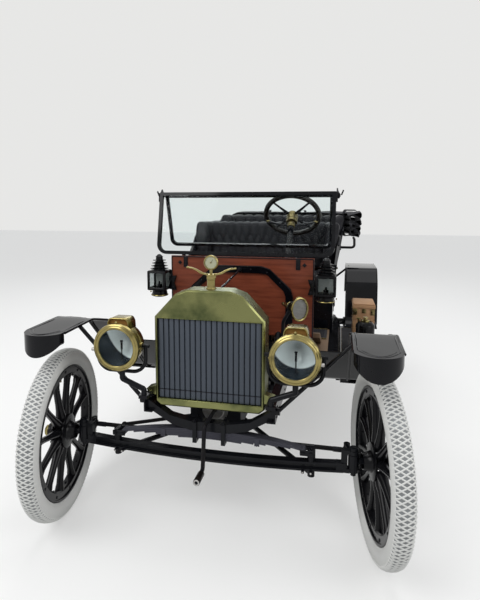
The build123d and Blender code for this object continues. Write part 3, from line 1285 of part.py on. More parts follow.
# Horn beside the engine: bell, tube back to the dash and a post on the frame
horn_mouth = Vector(362, 240, 955)
horn_yaw = radians(38)
horn_axis = Vector(-sin(horn_yaw), cos(horn_yaw), 0)
horn = turned(tuple(horn_mouth), tuple(horn_axis),
    [(0, 46), (-4, 52), (0, 58), (8, 57), (16, 46), (40, 30), (84, 19), (124, 14), (124, 1), (60, 1),
    (30, 22), (12, 40)])
horn_tail = horn_mouth + horn_axis * 112
horn += bent_rod([tuple(horn_tail), tuple(horn_tail + horn_axis * 50), (330, 470, 930),
                  (330, firewall_station - 16 - seat_gap, 930)], 24, 9)
horn += rod((330, firewall_station - 22, 930), (330, firewall_station - 16, 930), 22)
horn_post_x = frame_half_width - 14
horn += bent_rod([(horn_post_x, 300, rail_top + seat_gap), (horn_post_x, 300, 880),
                  tuple(horn_mouth + horn_axis * 70)], 12, 9)
horn += block((horn_post_x - 20, horn_post_x + 14), (276, 324), (rail_top + seat_gap, rail_top + 10))
save("horn", horn)
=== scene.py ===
"""Looks of a brass-era open touring car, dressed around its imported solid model."""
from __future__ import annotations

import json
import logging
import time
from dataclasses import dataclass
from enum import Enum
from math import cos, exp, pi, radians, sin, sqrt

import bmesh
import bpy
from mathutils import Matrix, Vector, noise
from mathutils.bvhtree import BVHTree


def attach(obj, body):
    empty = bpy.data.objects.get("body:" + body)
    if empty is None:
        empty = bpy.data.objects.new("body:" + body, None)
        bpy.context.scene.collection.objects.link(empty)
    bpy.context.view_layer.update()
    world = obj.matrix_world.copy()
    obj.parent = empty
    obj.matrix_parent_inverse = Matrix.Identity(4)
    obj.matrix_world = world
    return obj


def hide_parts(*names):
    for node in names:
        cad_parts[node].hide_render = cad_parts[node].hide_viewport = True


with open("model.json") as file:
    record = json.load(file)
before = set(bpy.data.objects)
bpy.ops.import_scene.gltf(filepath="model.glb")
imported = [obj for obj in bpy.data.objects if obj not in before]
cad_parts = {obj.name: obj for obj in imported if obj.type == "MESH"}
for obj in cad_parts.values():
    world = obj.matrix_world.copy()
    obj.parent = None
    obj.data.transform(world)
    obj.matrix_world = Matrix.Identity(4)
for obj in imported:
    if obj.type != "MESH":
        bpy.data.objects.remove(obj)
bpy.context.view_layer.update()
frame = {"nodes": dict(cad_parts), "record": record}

log = logging.getLogger("touring_car")

Color = tuple[float, float, float]
Spot = tuple[float, float, float] | Vector
Profile = list[tuple[float, float]]
Socket = bpy.types.NodeSocket

# Stations are millimetres rearward of the front axle, as in the part's source
ORIGIN_STATION = 1305.3
TO_FRAME = Matrix.Scale(0.001, 4) @ Matrix.Translation((0.0, -ORIGIN_STATION, 0.0))
FULL_TURN = 2.0 * pi
QUARTER_TURN = pi / 2.0
MIDDLE, UP, DOWN = (0, 0, 0), (0, 0, 1), (0, 0, -1)
LEFT, RIGHT, AHEAD, BACK = (1, 0, 0), (-1, 0, 0), (0, -1, 0), (0, 1, 0)

# Sizes shared by several sub-assemblies
WHEELBASE = 2540.0
HALF_TRACK = 711.0
TYRE_RADIUS = 381.0
KINGPIN_X = 612.0
STEER_REST = radians(10.0)
RAIL_TOP = 600.0
FRAME_HALF_WIDTH = 292.0

# The angle, in degrees, from which an edge of pressed sheet is sharp
CREASE = 28.0


class Body(Enum):
    """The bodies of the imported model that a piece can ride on."""

    CHASSIS = "chassis"
    KNUCKLE_LEFT = "knuckle_left"
    KNUCKLE_RIGHT = "knuckle_right"
    TIE_ROD = "tie_rod"
    PITMAN_ARM = "pitman_arm"
    STEERING_WHEEL = "steering_wheel"
    UPPER_SHIELD = "windshield_upper"
    DOOR_LEFT = "door_left"
    DOOR_RIGHT = "door_right"
    WHEEL_FRONT_LEFT = "wheel_front_left"
    WHEEL_FRONT_RIGHT = "wheel_front_right"
    WHEEL_REAR_LEFT = "wheel_rear_left"
    WHEEL_REAR_RIGHT = "wheel_rear_right"


class Side(Enum):
    """A side of the car, as the sign of X."""

    LEFT = 1
    RIGHT = -1

    @property
    def word(self) -> str:
        """The side's name in lower case."""
        return self.name.lower()


class Nodes:
    """A small helper that adds and wires shader nodes in one tree."""

    def __init__(self, owner: bpy.types.Material | bpy.types.World) -> None:
        """Starts from the nodes that a new material or world has.

        Args:
            owner: The material or world.
        """
        owner.use_nodes = True
        self.tree = owner.node_tree
        self.shader = self.tree.nodes.get("Principled BSDF")
        self.coords: bpy.types.Node | None = None

    def add(self, kind: str, **settings: object) -> bpy.types.Node:
        """Adds a node.

        Args:
            kind: The node's type name.
            settings: Attributes, or sockets by name, with their constant values.

        Returns:
            The new node.
        """
        node = self.tree.nodes.new(kind)
        for key, value in settings.items():
            if key in node.inputs:
                node.inputs[key].default_value = value
            else:
                setattr(node, key, value)
        return node

    def link(self, source: Socket, target: Socket) -> None:
        """Wires one socket to another."""
        self.tree.links.new(source, target)

    def fix(self, values: dict[str, object]) -> None:
        """Sets constant values of the shader's sockets, by name."""
        for name, value in values.items():
            self.shader.inputs[name].default_value = value

    def feed(self, name: str, source: Socket) -> None:
        """Wires a socket to the shader's socket of a name."""
        self.link(source, self.shader.inputs[name])

    def stretched(self, scale: Color = (1.0, 1.0, 1.0)) -> Socket:
        """Object coordinates scaled along each axis.

        Args:
            scale: The factor of each axis.

        Returns:
            The vector socket.
        """
        if self.coords is None:
            self.coords = self.add("ShaderNodeTexCoord")
        mapping = self.add("ShaderNodeMapping", Scale=scale)
        self.link(self.coords.outputs["Object"], mapping.inputs["Vector"])
        return mapping.outputs["Vector"]

    def noise(self, vector: Socket, scale: float, detail: float = 4.0, roughness: float = 0.55) -> Socket:
        """A noise pattern.

        Args:
            vector: Where it is read.
            scale: How fine it is.
            detail: How many octaves it has.
            roughness: How strong its fine octaves are.

        Returns:
            The value socket.
        """
        node = self.add("ShaderNodeTexNoise", Scale=scale, Detail=detail, Roughness=roughness)
        self.link(vector, node.inputs["Vector"])
        return node.outputs["Fac"]

    def ramp(self, value: Socket, stops: list[tuple[float, tuple[float, ...]]]) -> Socket:
        """Colours spread over a value.

        Args:
            value: The socket that is read.
            stops: Positions with their colours, or with one number for a grey.

        Returns:
            The colour socket.
        """
        node = self.add("ShaderNodeValToRGB")
        elements = node.color_ramp.elements
        while len(elements) < len(stops):
            elements.new(0.5)
        for element, (position, color) in zip(elements, stops):
            element.position = position
            element.color = (*(color * 3 if len(color) == 1 else color), 1.0)
        self.link(value, node.inputs["Fac"])
        return node.outputs["Color"]

    def spread(self, value: Socket, low: float, high: float, start: float = 0.3, stop: float = 0.7) -> Socket:
        """A value remapped.

        Args:
            value: The socket that is read.
            low: What the start becomes.
            high: What the stop becomes.
            start: The value that becomes low.
            stop: The value that becomes high.

        Returns:
            The value socket.
        """
        node = self.add("ShaderNodeMapRange", **{"From Min": start, "From Max": stop, "To Min": low, "To Max": high})
        self.link(value, node.inputs["Value"])
        return node.outputs["Result"]

    def bump(self, height: Socket, strength: float, distance: float) -> None:
        """Raises the surface by a pattern, on top of any bump already there.

        Args:
            height: The pattern.
            strength: Its share, up to 1.
            distance: Its height in metres.
        """
        node = self.add("ShaderNodeBump", Strength=strength, Distance=distance)
        self.link(height, node.inputs["Height"])
        normal = self.shader.inputs["Normal"]
        if normal.is_linked:
            self.link(normal.links[0].from_socket, node.inputs["Normal"])
        self.link(node.outputs["Normal"], normal)

    def rubbed(self, radius: float, base: Socket, bare: Color) -> Socket:
        """A colour that turns barer on convex edges.

        Args:
            radius: How sharp an edge has to be.
            base: The colour elsewhere.
            bare: The colour of the edges.

        Returns:
            The colour socket.
        """
        edges = self.add("ShaderNodeNewGeometry").outputs["Pointiness"]
        return self.mix(self.ramp(edges, [(0.5, (0.0,)), (0.5 + radius, (1.0,))]), base, bare)

    def mix(self, mask: Socket, first: Socket, second: Color) -> Socket:
        """A colour between two, by a mask.

        Args:
            mask: The share of the second colour.
            first: The first colour.
            second: The second colour, a constant.

        Returns:
            The colour socket.
        """
        node = self.add("ShaderNodeMix", data_type="RGBA")
        self.link(mask, node.inputs[0])
        self.link(first, node.inputs[6])
        node.inputs[7].default_value = (*second, 1.0)
        return node.outputs[2]


@dataclass(frozen=True)
class Finish:
    """A surface finish; subclasses say how its nodes are made."""

    name: str
    color: Color

    def material(self) -> bpy.types.Material:
        """The finish as a Blender material, made once.

        Returns:
            The material.
        """
        found = bpy.data.materials.get(self.name)
        if found is None:
            found = bpy.data.materials.new(self.name)
            found.diffuse_color = (*self.color, 1.0)
            self.wire(Nodes(found))
        return found

    def wire(self, nodes: Nodes) -> None:
        """Makes the nodes; the plain finish only sets its colour."""
        nodes.fix({"Base Color": (*self.color, 1.0)})

    def paler(self, factor: float, lift: float = 0.0) -> Color:
        """The colour times a factor, plus a lift, at most 1."""
        return tuple(min(1.0, channel * factor + lift) for channel in self.color)


@dataclass(frozen=True)
class Paint(Finish):
    """Old coach enamel: glossy, with dust, faint ripples and rubbed spots."""

    roughness: float = 0.16
    coat: float = 0.3
    dust: float = 0.35
    gloss: float = 0.12

    def wire(self, nodes: Nodes) -> None:
        """Wires colour, gloss and ripple.

        Args:
            nodes: The material's nodes.
        """
        nodes.fix({"Specular IOR Level": self.gloss, "Coat Weight": self.coat, "Coat Roughness": 0.06})
        where = nodes.stretched()
        dusty = self.paler(1.0, 0.004 + 0.03 * self.dust)
        nodes.feed("Base Color", nodes.ramp(nodes.noise(where, 7.0, 6.0), [(0.35, self.color), (0.8, dusty)]))
        fine = nodes.noise(where, 90.0, 5.0)
        nodes.feed("Roughness", nodes.spread(fine, self.roughness, self.roughness + 0.14 * self.dust))
        nodes.bump(nodes.noise(where, 28.0, 2.0), 0.05, 0.0006)
        nodes.bump(fine, 0.03, 0.0002)


@dataclass(frozen=True)
class Metal(Finish):
    """Polished or dull metal with tarnish patches and fine scratches."""

    tarnish: Color = (0.2, 0.15, 0.06)
    roughness: float = 0.18
    patch: float = 0.55
    scale: float = 14.0

    def wire(self, nodes: Nodes) -> None:
        """Wires tarnish, scratches and gloss.

        Args:
            nodes: The material's nodes.
        """
        nodes.fix({"Metallic": 1.0})
        where = nodes.stretched()
        cloud = nodes.noise(where, self.scale, 7.0, 0.6)
        nodes.feed("Base Color", nodes.ramp(cloud, [
            (self.patch - 0.2, self.paler(1.12)), (self.patch, self.color), (self.patch + 0.22, self.tarnish)]))
        nodes.feed("Roughness", nodes.spread(cloud, self.roughness, self.roughness + 0.2))
        nodes.bump(nodes.noise(nodes.stretched((40.0, 40.0, 400.0)), 3.0, 3.0), 0.04, 0.0002)
        nodes.bump(nodes.noise(where, 60.0, 3.0), 0.05, 0.0004)


@dataclass(frozen=True)
class Bowl(Finish):
    """A silvered lamp bowl with a painted reflection: a bright window above, within a circle about each lamp, and
    painted shade of the dark room below its arc.
    """

    # Painted reflection: each lamp's circle middle in metres, its radius, and the painted shade outside it
    reflection_centres: tuple[Color, ...] = ((0.380, 0.0, 0.864), (-0.346, 0.0, 0.861))
    reach: float = 0.093
    shade: Color = (0.020, 0.030, 0.042)

    def wire(self, nodes: Nodes) -> None:
        """Wires the painted reflection of each lamp: darker at its middle, near white out to its arc, and painted shade
        beyond it.

        Args:
            nodes: The material's nodes.
        """
        flat = nodes.stretched((1.0, 0.0, 1.0))
        nearest = nodes.add("ShaderNodeMath", operation="MINIMUM")
        for arc, socket in zip(self.reflection_centres, nearest.inputs):
            away = nodes.add("ShaderNodeVectorMath", operation="DISTANCE")
            away.inputs[1].default_value = arc
            nodes.link(flat, away.inputs[0])
            nodes.link(away.outputs["Value"], socket)
        share = nodes.spread(nearest.outputs[0], 0.0, 1.0, 0.0, self.reach)
        # Painted reflection: darker at the middle, near white out to the arc, painted dark-room shade outside
        nodes.feed("Base Color", nodes.ramp(share, [
            (0.1, self.paler(0.3)), (0.5, self.paler(0.7)), (0.93, self.color), (0.97, self.shade)]))
        nodes.fix({"Metallic": 0.1, "Roughness": 0.2})


@dataclass(frozen=True)
class Iron(Finish):
    """Painted or bare iron: matt, with a cast skin and brown dirt."""

    dirt: Color = (0.09, 0.06, 0.04)
    roughness: float = 0.45
    skin: float = 0.25
    metallic: float = 0.0

    def wire(self, nodes: Nodes) -> None:
        """Wires the cast skin, dirt and worn edges.

        Args:
            nodes: The material's nodes.
        """
        nodes.fix({"Metallic": self.metallic, "Specular IOR Level": 0.1})
        where = nodes.stretched()
        cloud = nodes.noise(where, 11.0, 8.0, 0.65)
        base = nodes.ramp(cloud, [(0.4, self.color), (0.85, self.dirt)])
        nodes.feed("Base Color", nodes.rubbed(0.08, base, self.paler(1.6, 0.004)))
        nodes.feed("Roughness", nodes.spread(cloud, self.roughness, self.roughness + 0.25))
        nodes.bump(nodes.noise(where, 260.0, 4.0), self.skin, 0.0006)


@dataclass(frozen=True)
class Wood(Finish):
    """Wood with grain along one axis under varnish or paint."""

    dark: Color = (0.05, 0.02, 0.01)
    grain: Color = (6.0, 60.0, 60.0)
    roughness: float = 0.3
    coat: float = 0.5
    relief: float = 0.15

    def wire(self, nodes: Nodes) -> None:
        """Wires rings, pores and varnish.

        Args:
            nodes: The material's nodes.
        """
        nodes.fix({"Specular IOR Level": 0.1, "Coat Weight": self.coat, "Coat Roughness": 0.12})
        where = nodes.stretched(self.grain)
        rings = nodes.noise(where, 1.0, 9.0, 0.62)
        pores = nodes.noise(where, 6.0, 3.0, 0.7)
        nodes.feed("Base Color", nodes.ramp(rings, [
            (0.28, self.dark), (0.46, self.color), (0.62, self.paler(1.3)), (0.8, self.color)]))
        nodes.feed("Roughness", nodes.spread(pores, self.roughness, self.roughness + 0.2))
        nodes.bump(pores, self.relief, 0.0005)


@dataclass(frozen=True)
class Rubber(Finish):
    """Unpigmented old tyre rubber: off-white with patchy grime; its darker copy on the crown is painted shade in the
    tread's grooves.
    """

    grime: Color = (0.35, 0.34, 0.32)
    roughness: float = 0.62

    def wire(self, nodes: Nodes) -> None:
        """Wires grime, cracks and a chalky skin.

        Args:
            nodes: The material's nodes.
        """
        where = nodes.stretched()
        smear = nodes.noise(where, 45.0, 5.0, 0.6)
        base = nodes.ramp(nodes.noise(where, 9.0, 8.0, 0.65), [(0.3, self.color), (0.75, self.grime)])
        nodes.feed("Base Color", nodes.mix(nodes.ramp(smear, [(0.5, (0.0,)), (0.9, (0.5,))]), base, self.grime))
        nodes.fix({"Roughness": self.roughness})
        nodes.bump(nodes.noise(where, 320.0, 3.0), 0.2, 0.0005)
        nodes.bump(smear, 0.15, 0.0008)


@dataclass(frozen=True)
class Hide(Finish):
    """Upholstery leather or coated cloth with a pebbled grain."""

    cell: float = 420.0
    roughness: float = 0.36
    grain: float = 0.35
    weave: bool = False

    def wire(self, nodes: Nodes) -> None:
        """Wires the pebble or weave, creases and rubbed high spots.

        Args:
            nodes: The material's nodes.
        """
        where = nodes.stretched()
        cloud = nodes.noise(where, 8.0, 6.0)
        rubbed = self.paler(2.0, 0.006)
        base = nodes.ramp(cloud, [(0.4, self.color), (0.85, rubbed)])
        nodes.feed("Base Color", nodes.rubbed(0.12, base, rubbed))
        nodes.feed("Roughness", nodes.spread(cloud, self.roughness, self.roughness + 0.2))
        nodes.fix({"Specular IOR Level": 0.15, "Sheen Weight": 0.03 if self.weave else 0.0})
        if self.weave:
            wave = nodes.add("ShaderNodeTexWave", Scale=self.cell, Distortion=0.4, bands_direction="DIAGONAL")
            nodes.link(where, wave.inputs["Vector"])
            nodes.bump(wave.outputs["Fac"], self.grain, 0.0005)
        else:
            cells = nodes.add("ShaderNodeTexVoronoi", Scale=self.cell, feature="DISTANCE_TO_EDGE")
            nodes.link(where, cells.inputs["Vector"])
            nodes.bump(nodes.spread(cells.outputs["Distance"], 0.0, 1.0, 0.0, 0.12), self.grain, 0.0006)
        nodes.bump(nodes.noise(where, 70.0, 4.0), 0.18, 0.0012)


@dataclass(frozen=True)
class Glass(Finish):
    """Clear old glass with a faint tint and ripple."""

    roughness: float = 0.02
    ripple: float = 0.04

    def wire(self, nodes: Nodes) -> None:
        """Wires transmission and ripple.

        Args:
            nodes: The material's nodes.
        """
        nodes.fix({"Base Color": (*self.color, 1.0), "Transmission Weight": 1.0, "IOR": 1.1})
        where = nodes.stretched()
        nodes.feed("Roughness", nodes.spread(nodes.noise(where, 20.0), self.roughness, self.roughness + 0.04))
        nodes.bump(nodes.noise(where, 12.0, 2.0), self.ripple, 0.0006)


# Every finish of the car
COACH_BLACK = Paint("coach_black", (0.0022, 0.0024, 0.004), 0.1, 0.12, 0.06)
CHASSIS_BLACK = Paint("chassis_black", (0.0035, 0.004, 0.006), 0.24, 0.05, 0.15)
LAMP_BLACK = Paint("lamp_black", (0.0025, 0.0025, 0.0035), 0.18, 0.1, 0.1)
WHEEL_BLACK = Paint("wheel_black", (0.0025, 0.0025, 0.0035), 0.2, 0.08, 0.1)
SHELL_BRASS = Metal("shell_brass", (0.20, 0.205, 0.085), (0.055, 0.07, 0.03), 0.18, 0.5, 5.0)
BRASS = Metal("polished_brass", (0.29, 0.24, 0.095), (0.08, 0.066, 0.03), 0.12, 0.52, 14.0)
OLD_BRASS = Metal("old_brass", (0.18, 0.145, 0.065), (0.07, 0.055, 0.028), 0.2, 0.5, 20.0)
# The headlamp bowls, their reflection painted into the colour
MIRROR_PAINTED_REFLECTION = Bowl("lamp_bowl", (0.93, 0.99, 1.0))
AMBER = Iron("heated_brass", (0.20, 0.10, 0.025), (0.09, 0.04, 0.015), 0.5, 0.3)
PALE = Iron("pale_tin", (0.34, 0.35, 0.34), (0.14, 0.135, 0.13), 0.5, 0.3)
STEEL = Metal("bare_steel", (0.48, 0.47, 0.46), (0.22, 0.2, 0.18), 0.3, 0.5, 18.0)
CORE = Iron("core_paint", (0.014, 0.0195, 0.0255), (0.022, 0.029, 0.036), 0.55, 0.15)
SPRING = Iron("spring_steel", (0.010, 0.011, 0.016), (0.026, 0.025, 0.026), 0.36, 0.15, 0.2)
BLACK_IRON = Iron("black_iron", (0.006, 0.006, 0.008), (0.022, 0.018, 0.014), 0.35, 0.15)
CASTING = Iron("engine_casting", (0.009, 0.010, 0.013), (0.035, 0.03, 0.025), 0.42, 0.3)
RAW_IRON = Iron("raw_iron", (0.10, 0.085, 0.075), (0.16, 0.08, 0.045), 0.6, 0.4, 0.3)
DASH_WOOD = Wood("dash_wood", (0.165, 0.040, 0.020), (0.078, 0.017, 0.009), (5.0, 60.0, 55.0), 0.26, 0.2)
FLOOR_WOOD = Wood("floor_wood", (0.13, 0.085, 0.05), (0.05, 0.03, 0.02), (50.0, 4.0, 50.0), 0.6, 0.0, 0.3)
BOX_WOOD = Wood("box_wood", (0.33, 0.17, 0.075), (0.14, 0.06, 0.03), (50.0, 6.0, 50.0), 0.4, 0.3)
RIM_WOOD = Wood("rim_wood", (0.008, 0.006, 0.005), (0.003, 0.002, 0.002), (30.0, 30.0, 30.0), 0.28, 0.25)
TYRE = Rubber("white_rubber", (0.41, 0.475, 0.50), (0.33, 0.37, 0.385))
# Painted shade: a darker rubber for the crown band between the tread ribs, standing for shade in the grooves
GROOVE_PAINTED_SHADE = Rubber("tread_groove_painted_shade", (0.30, 0.315, 0.32), (0.16, 0.165, 0.165))
HOSE = Rubber("hose_rubber", (0.016, 0.016, 0.017), (0.04, 0.038, 0.035), 0.5)
LEATHER = Hide("tufted_leather", (0.005, 0.005, 0.007), 420.0, 0.32, 0.35)
TOP_CLOTH = Hide("top_cloth", (0.006, 0.006, 0.008), 900.0, 0.5, 0.22, True)
MAT = Hide("ribbed_mat", (0.011, 0.011, 0.013), 160.0, 0.55, 0.5, True)
PANE = Glass("window_glass", (0.93, 0.97, 0.97))
LAMP_GLASS = Glass("lamp_glass", (0.90, 0.93, 0.93), 0.02, 0.1)
SMOKED = Glass("smoked_glass", (0.62, 0.65, 0.65), 0.05, 0.1)
RED_GLASS = Glass("red_glass", (0.6, 0.03, 0.02), 0.05, 0.1)
DIAL = Paint("dial_cream", (0.44, 0.45, 0.31), 0.4, 0.1, 0.0)
INK = Paint("dial_ink", (0.02, 0.02, 0.02), 0.4, 0.1, 0.0)
CERAMIC = Paint("white_ceramic", (0.75, 0.73, 0.68), 0.3, 0.3, 0.3)


def rounded(points: list[Vector], bend: float) -> list[Vector]:
    """Points along straight runs whose corners are rounded.

    Args:
        points: The runs' corners.
        bend: How far from a corner its rounding starts, at most.

    Returns:
        The denser path.
    """
    path = [points[0]]
    for before, corner, after in zip(points, points[1:], points[2:]):
        reach = min(bend, (corner - before).length * 0.45, (after - corner).length * 0.45)
        enter = corner + (before - corner).normalized() * reach
        leave = corner + (after - corner).normalized() * reach
        for step in range(7):
            t = step / 6
            path.append(enter * (1 - t) ** 2 + corner * (2 * t * (1 - t)) + leave * t ** 2)
    return [*path, points[-1]]


def facing(origin: Vector, axis: Vector, up: Vector | None = None) -> Matrix:
    """A matrix that moves a shape's Z axis onto an axis at an origin.

    Args:
        origin: Where the shape's own origin goes.
        axis: The direction of the shape's Z axis.
        up: The wished direction of the shape's Y axis.

    Returns:
        The placing matrix.
    """
    z_dir = Vector(axis).normalized()
    guide = Vector(up) if up is not None else (Vector(UP if abs(z_dir.z) < 0.95 else BACK))
    x_dir = guide.cross(z_dir).normalized()
    y_dir = z_dir.cross(x_dir)
    turn = Matrix((x_dir, y_dir, z_dir)).transposed().to_4x4()
    return Matrix.Translation(Vector(origin)) @ turn


def rims(verts: list[bmesh.types.BMVert]) -> list[bmesh.types.BMEdge]:
    """The edges at some vertices, each once and in order."""
    return list(dict.fromkeys(edge for vert in verts for edge in vert.link_edges))


def new_verts(made: dict) -> list[bmesh.types.BMVert]:
    """The vertices among what an operator has made."""
    return [item for item in made["geom"] if isinstance(item, bmesh.types.BMVert)]


def eased(bm: bmesh.types.BMesh, edges: list[bmesh.types.BMEdge], width: float, segments: int = 2) -> None:
    """Rounds edges.

    Args:
        bm: Their mesh.
        edges: The edges.
        width: How far from an edge the rounding starts, or 0 for none.
        segments: How many facets it has.
    """
    if width:
        bmesh.ops.bevel(bm, geom=edges, offset=width, offset_type="OFFSET", segments=segments, profile=0.5,
                        affect="EDGES", material=-1, clamp_overlap=True)


def spun(bm: bmesh.types.BMesh, geom: list, centre: Spot, axis: Spot, angle: float, steps: int, merge: bool = False,
         copies: bool = False, climb: Spot = MIDDLE) -> None:
    """Sweeps or repeats a shape about an axis.

    Args:
        bm: Its mesh.
        geom: What is swept.
        centre: A point of the axis.
        axis: The axis.
        angle: How far it goes.
        steps: In how many steps.
        merge: Whether the last step meets the first.
        copies: Whether copies are made, and not a surface.
        climb: How far each step moves along.
    """
    bmesh.ops.spin(bm, geom=geom, cent=centre, axis=axis, dvec=climb, angle=angle, steps=steps, use_merge=merge,
                   use_normal_flip=False, use_duplicate=copies)


def stretched(size: Spot) -> Matrix:
    """A matrix that scales along the axes."""
    return Matrix.Diagonal((*size, 1.0))


def apart(path: list[Vector]) -> list[Vector]:
    """The points of a path without repeats."""
    return [point for index, point in enumerate(path) if index == 0 or (point - path[index - 1]).length > 0.01]


def added(name: str, bm: bmesh.types.BMesh) -> bpy.types.Object:
    """Makes a mesh the scene's new object and frees it.

    Args:
        name: The object's name.
        bm: Its mesh.

    Returns:
        The object.
    """
    mesh = bpy.data.meshes.new(name)
    bm.to_mesh(mesh)
    bm.free()
    return linked(bpy.data.objects.new(name, mesh))


def linked(thing: bpy.types.Object) -> bpy.types.Object:
    """Puts an object into the scene and returns it."""
    bpy.context.scene.collection.objects.link(thing)
    return thing


class Piece:
    """A mesh under construction, in millimetres and stations, that becomes one named object."""

    def __init__(self) -> None:
        """Starts an empty mesh with no finishes."""
        self.layers: list[bmesh.types.BMesh] = []
        self.finishes: list[Finish] = []

    def mark(self) -> int:
        """How many shapes there are now, to find the new ones later."""
        return len(self.layers)

    def fresh(self) -> bmesh.types.BMesh:
        """Starts the mesh of one more shape."""
        self.layers.append(bmesh.new())
        return self.layers[-1]

    def dress(self, bm: bmesh.types.BMesh, finish: Finish, merge: float = 0.0) -> None:
        """Gives a shape its finish.

        Args:
            bm: The shape's mesh.
            finish: Its finish.
            merge: The distance within which its vertices are merged, or 0.
        """
        if merge:
            bmesh.ops.remove_doubles(bm, verts=bm.verts, dist=merge)
        if finish not in self.finishes:
            self.finishes.append(finish)
        index = self.finishes.index(finish)
        for face in bm.faces:
            face.material_index = index
            face.smooth = True

    def cube(self, low: Spot, high: Spot, finish: Finish, bevel: float = 0.0, segments: int = 2) -> None:
        """A box.

        Args:
            low: Its lowest corner.
            high: Its highest corner.
            finish: Its finish.
            bevel: The rounding of its edges.
            segments: The facets of the rounding.
        """
        middle = [(a + b) / 2 for a, b in zip(low, high)]
        self.slab(middle, [b - a for a, b in zip(low, high)], Matrix.Identity(3), finish, bevel, segments)

    def slab(self, centre: Spot, size: Spot, turn: Matrix, finish: Finish, bevel: float = 0.0,
             segments: int = 2) -> None:
        """A turned box.

        Args:
            centre: Its middle.
            size: Its size along its own axes.
            turn: How it is turned.
            finish: Its finish.
            bevel: The rounding of its edges.
            segments: The facets of the rounding.
        """
        bm = self.fresh()
        made = bmesh.ops.create_cube(bm, size=1.0, matrix=Matrix.Translation(centre) @ turn.to_4x4() @ stretched(size))
        eased(bm, rims(made["verts"]), bevel, segments)
        self.dress(bm, finish)

    def rod(self, start: Spot, end: Spot, radius: float, finish: Finish, end_radius: float | None = None,
            sides: int = 24, bevel: float = 0.0) -> None:
        """A round bar, cone or prism.

        Args:
            start: The middle of its first end.
            end: The middle of its other end.
            radius: Its radius.
            finish: Its finish.
            end_radius: The radius of its other end, if it differs.
            sides: How many sides it has.
            bevel: The rounding of its ends' edges.
        """
        bm = self.fresh()
        start, end = Vector(start), Vector(end)
        last = radius if end_radius is None else end_radius
        made = bmesh.ops.create_cone(bm, cap_ends=True, segments=sides, radius1=radius, radius2=last,
                                     depth=(end - start).length, matrix=facing((start + end) / 2, end - start))
        caps = [edge for edge in rims(made["verts"]) if any(len(face.verts) == sides for face in edge.link_faces)]
        eased(bm, caps, bevel)
        self.dress(bm, finish)

    def ball(self, centre: Spot, radius: float, finish: Finish, stretch: Spot = (1.0, 1.0, 1.0)) -> None:
        """A ball.

        Args:
            centre: Its middle.
            radius: Its radius.
            finish: Its finish.
            stretch: How much it is stretched along each axis.
        """
        bm = self.fresh()
        bmesh.ops.create_uvsphere(bm, u_segments=20, v_segments=12, radius=radius,
                                  matrix=Matrix.Translation(centre) @ stretched(stretch))
        self.dress(bm, finish)

    def ring(self, centre: Spot, axis: Spot, major: float, minor: float, finish: Finish, steps: int = 48,
             sides: int = 12) -> None:
        """A ring of round section.

        Args:
            centre: Its middle.
            axis: Its axis.
            major: Its radius.
            minor: Its section's radius.
            finish: Its finish.
            steps: How many steps it has round its axis.
            sides: How many sides its section has.
        """
        bm = self.fresh()
        centre, axis = Vector(centre), Vector(axis).normalized()
        out = axis.orthogonal().normalized()
        made = bmesh.ops.create_circle(bm, cap_ends=False, segments=sides, radius=minor,
                                       matrix=facing(centre + out * major, axis.cross(out), axis))
        spun(bm, made["verts"] + rims(made["verts"]), centre, axis, FULL_TURN, steps, True)
        self.dress(bm, finish, 0.001)

    def turn(self, origin: Spot, axis: Spot, profile: Profile, finish: Finish, steps: int = 48) -> None:
        """A turned shape.

        Args:
            origin: Where the profile's along value is 0.
            axis: The axis that it is turned about.
            profile: (along, radius) points; a last point equal to the first closes it.
            finish: Its finish.
            steps: How many steps the turn has.
        """
        bm = self.fresh()
        origin, axis = Vector(origin), Vector(axis).normalized()
        out = Vector(UP if abs(axis.z) < 0.9 else AHEAD)
        out = (out - axis * out.dot(axis)).normalized()
        closed = profile[0] == profile[-1]
        verts = [bm.verts.new(origin + axis * along + out * radius)
                 for along, radius in (profile[:-1] if closed else profile)]
        pairs = list(zip(verts, verts[1:])) + ([(verts[-1], verts[0])] if closed else [])
        spun(bm, verts + [bm.edges.new(pair) for pair in pairs], origin, axis, FULL_TURN, steps, True)
        self.dress(bm, finish, 0.002)

    def tube(self, points: list[Spot], radius: float, finish: Finish, bend: float = 0.0, sides: int = 12,
             end_radius: float | None = None, flat: float = 1.0, loop: bool = False) -> None:
        """A round or flattened bar along a path.

        Args:
            points: The path's corners.
            radius: The bar's radius.
            finish: Its finish.
            bend: The rounding of the corners.
            sides: How many sides the bar has.
            end_radius: The radius at the far end, if it differs.
            flat: The bar's height as a share of its width.
            loop: Whether the path closes on itself.
        """
        bm = self.fresh()
        path = [Vector(point) for point in points]
        if loop:
            middle = (path[0] + path[-1]) / 2
            path = [middle, *path, middle]
        path = apart(rounded(path, bend) if bend or loop else path)
        start = facing(path[0], path[1] - path[0]) @ stretched((1.0, flat, 1.0))
        ring = bmesh.ops.create_circle(bm, cap_ends=False, segments=sides, radius=radius, matrix=start)["verts"]
        edges, first = rims(ring), list(ring)
        heading = (path[1] - path[0]).normalized()
        ratio = 1.0 if end_radius is None else (end_radius / radius) ** (1 / (len(path) - 1))
        for index in range(1, len(path)):
            ahead = path[index + 1] - path[index] if index + 1 < len(path) else path[index] - path[index - 1]
            aim = ((path[index] - path[index - 1]).normalized() + ahead.normalized()).normalized()
            made = bmesh.ops.extrude_edge_only(bm, edges=edges)
            ring = new_verts(made)
            edges = [item for item in made["geom"] if isinstance(item, bmesh.types.BMEdge)]
            swing = heading.rotation_difference(aim).to_matrix().to_4x4()
            move = (Matrix.Translation(path[index]) @ swing @ Matrix.Scale(ratio, 4)
                    @ Matrix.Translation(-path[index - 1]))
            bmesh.ops.transform(bm, matrix=move, verts=ring)
            heading = aim
        if not loop:
            for verts in (first, ring):
                bmesh.ops.edgeloop_fill(bm, edges=[
                    edge for edge in rims(verts) if edge.verts[0] in verts and edge.verts[1] in verts])
        self.dress(bm, finish, 0.05 if loop else 0.0)

